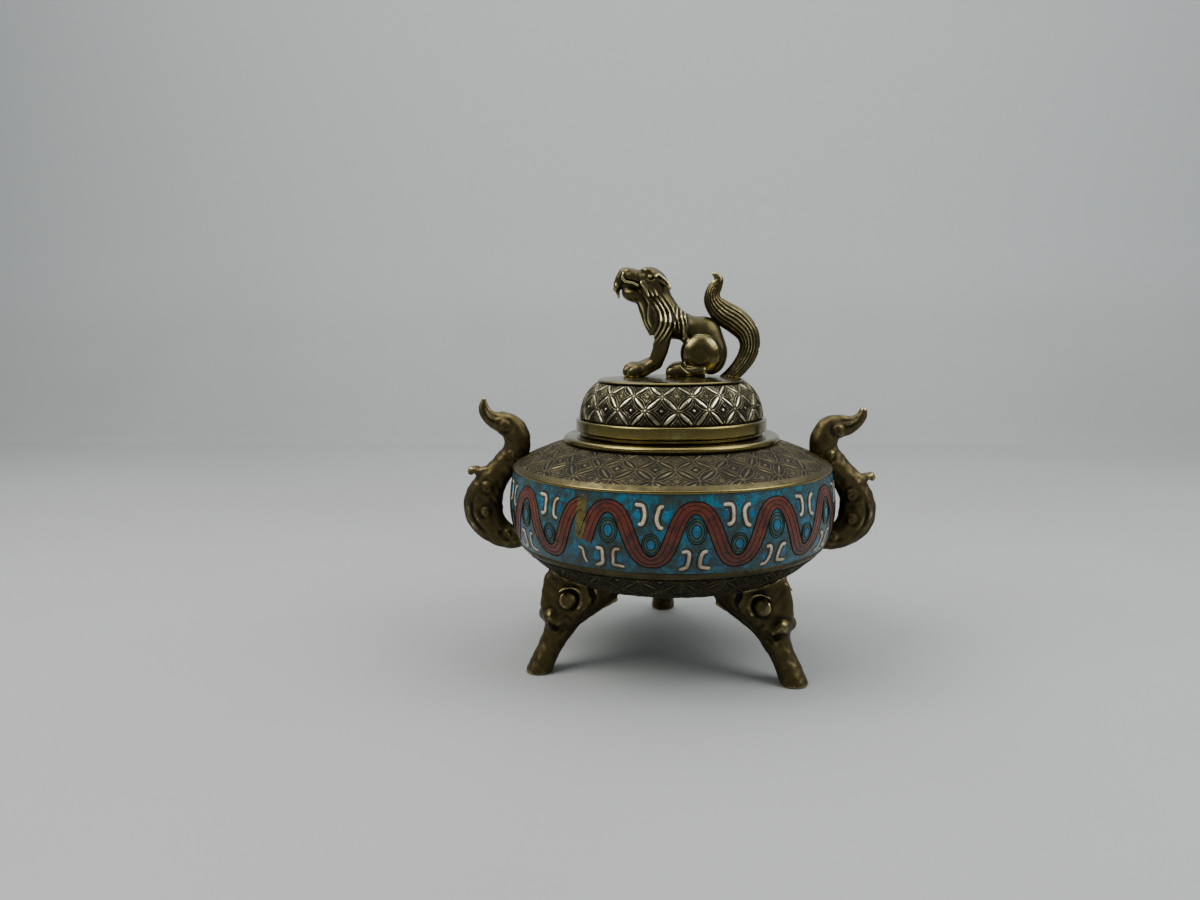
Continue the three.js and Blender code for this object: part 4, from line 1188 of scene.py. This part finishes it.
# The tail's stops are distance from the axis, height, half width and half thickness.
TAIL = [(15.6, 85.8, 1.9, 1.6), (18.6, 88.0, 2.3, 1.8), (21.2, 90.7, 2.6, 2.0),
        (23.2, 94.0, 2.9, 2.2), (23.9, 97.4, 3.1, 2.3), (22.8, 101.0, 3.5, 2.4),
        (19.6, 104.2, 3.9, 2.4), (15.6, 106.8, 3.7, 2.3), (12.9, 109.8, 2.9, 2.0),
        (12.5, 112.4, 2.3, 1.7), (13.6, 114.9, 2.0, 1.4), (14.3, 116.5, 1.5, 1.2),
        (13.7, 117.7, 1.0, 0.9), (12.6, 118.4, 0.5, 0.5)]


def tail_shape():
    block = Block((6.5, -3.6, 86.0), (29.0, 3.6, 121.0), 0.2)
    shape, across, along, width = block.plume(TAIL)
    grooves = 0.2 * np.cos(TAU * 3.6 * across + 0.5 * np.sin(9 * along))
    grooves = grooves * np.clip(width / 3, 0.2, 1) * np.clip(1.15 - np.abs(across), 0, 1)
    block.add(shape + grooves, 0.01)
    for height, place in ((95.6, 26.3), (103.0, 25.2)):
        block.carve(block.limb((place, -4, height), (place + 1.2, 4, height), 0.35), 0.3)
    return mesh_on_plate(block, 0.6)


add_casting("lion_dog", *lion_shape(), lion_bronze, "lion_bronze", "lid")
add_casting("lion_dog_tail", *tail_shape(), lion_bronze, "lion_bronze", "lid")


# ---- Carried-over pieces ---------------------------------------------
FINISHES = {"finial": polished_brass, "lion": lion_bronze}
for node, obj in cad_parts.items():
    obj.data.materials.clear()
    obj.data.materials.append(FINISHES.get(node.split("_")[0], dark_bronze))


# ---- Stage -----------------------------------------------------------
SWEEP = [(-700, 0), (-300, 0), (0, 0), (420, 0), (500, 6), (560, 26), (600, 60), (625, 110),
         (640, 200), (648, 420), (650, 900)]
SWEEP_HALF_WIDTH = 900


def make_stage():
    """A pale floor that sweeps up into a paler backdrop: one cloth with painted shade on the floor and
    painted light up the backdrop, standing in for how the lamps fall on it.
    """
    line = smooth_line(SWEEP, 6)
    places = np.linspace(-SWEEP_HALF_WIDTH, SWEEP_HALF_WIDTH, 12)
    points = np.array([[x, y, z] for y, z in line for x in places], float)
    faces = tube_faces(len(line), len(places), False, False)
    mesh = bpy.data.meshes.new("stage_sweep")
    mesh.from_pydata((points * MM).tolist(), [], faces.tolist())
    mesh.polygons.foreach_set("use_smooth", np.ones(len(mesh.polygons), bool))
    material, tree, shader = node_material("stage_cloth")
    weave = noise(tree, 0.9, 3, 0.6)
    broad = noise(tree, 0.006, 3, 0.5)
    place = add_node(tree, "ShaderNodeTexCoord").outputs["Object"]
    split = add_node(tree, "ShaderNodeSeparateXYZ")
    tree.links.new(place, split.inputs["Vector"])
    # Painted light: the cloth goes from darker on the floor to lighter from 200 mm up the backdrop, as
    # painted shade and painted light for how the lamps fall on the sweep. The broad noise adds a small
    # random tone.
    backdrop_painted_light = remap(tree, split.outputs["Z"], 0.0, 0.2)
    shade = math_node(tree, "ADD", backdrop_painted_light, remap(tree, broad, 0.3, 0.7, 0.0, 0.1))
    tree.links.new(mix_colours(tree, shade, (0.27, 0.28, 0.272), (0.41, 0.43, 0.428)),
                   shader.inputs["Base Color"])
    shader.inputs["Roughness"].default_value = 0.95
    shader.inputs["Specular IOR Level"].default_value = 0.1
    bump(tree, shader, weave, 0.12, 0.5)
    mesh.materials.append(material)
    sweep = bpy.data.objects.new("stage_sweep", mesh)
    bpy.context.scene.collection.objects.link(sweep)


def add_light(name, place, aim, size, power, colour):
    """A rectangular softbox."""
    data = bpy.data.lights.new(name, "AREA")
    data.shape = "RECTANGLE"
    data.size, data.size_y = (value * MM for value in size)
    data.energy = power
    data.color = colour
    light = bpy.data.objects.new(name, data)
    light.location = Vector(place) * MM
    light.rotation_euler = (Vector(aim) - Vector(place)).to_track_quat("-Z", "Y").to_euler()
    bpy.context.scene.collection.objects.link(light)


make_stage()
add_light("key", (-380, -200, 560), (0, 0, 50), (420, 420), 4.7, (1.0, 0.985, 0.96))
add_light("fill", (480, -160, 480), (0, 0, 50), (420, 420), 4.1, (0.96, 0.98, 1.0))
add_light("top", (0, 200, 820), (0, 60, 40), (1500, 1000), 11.5, (1.0, 1.0, 1.0))
world = bpy.data.worlds.new("studio")
world.use_nodes = True
surroundings = world.node_tree.nodes["Background"]
surroundings.inputs["Color"].default_value = (0.80, 0.82, 0.85, 1)
surroundings.inputs["Strength"].default_value = 0.36
bpy.context.scene.world = world
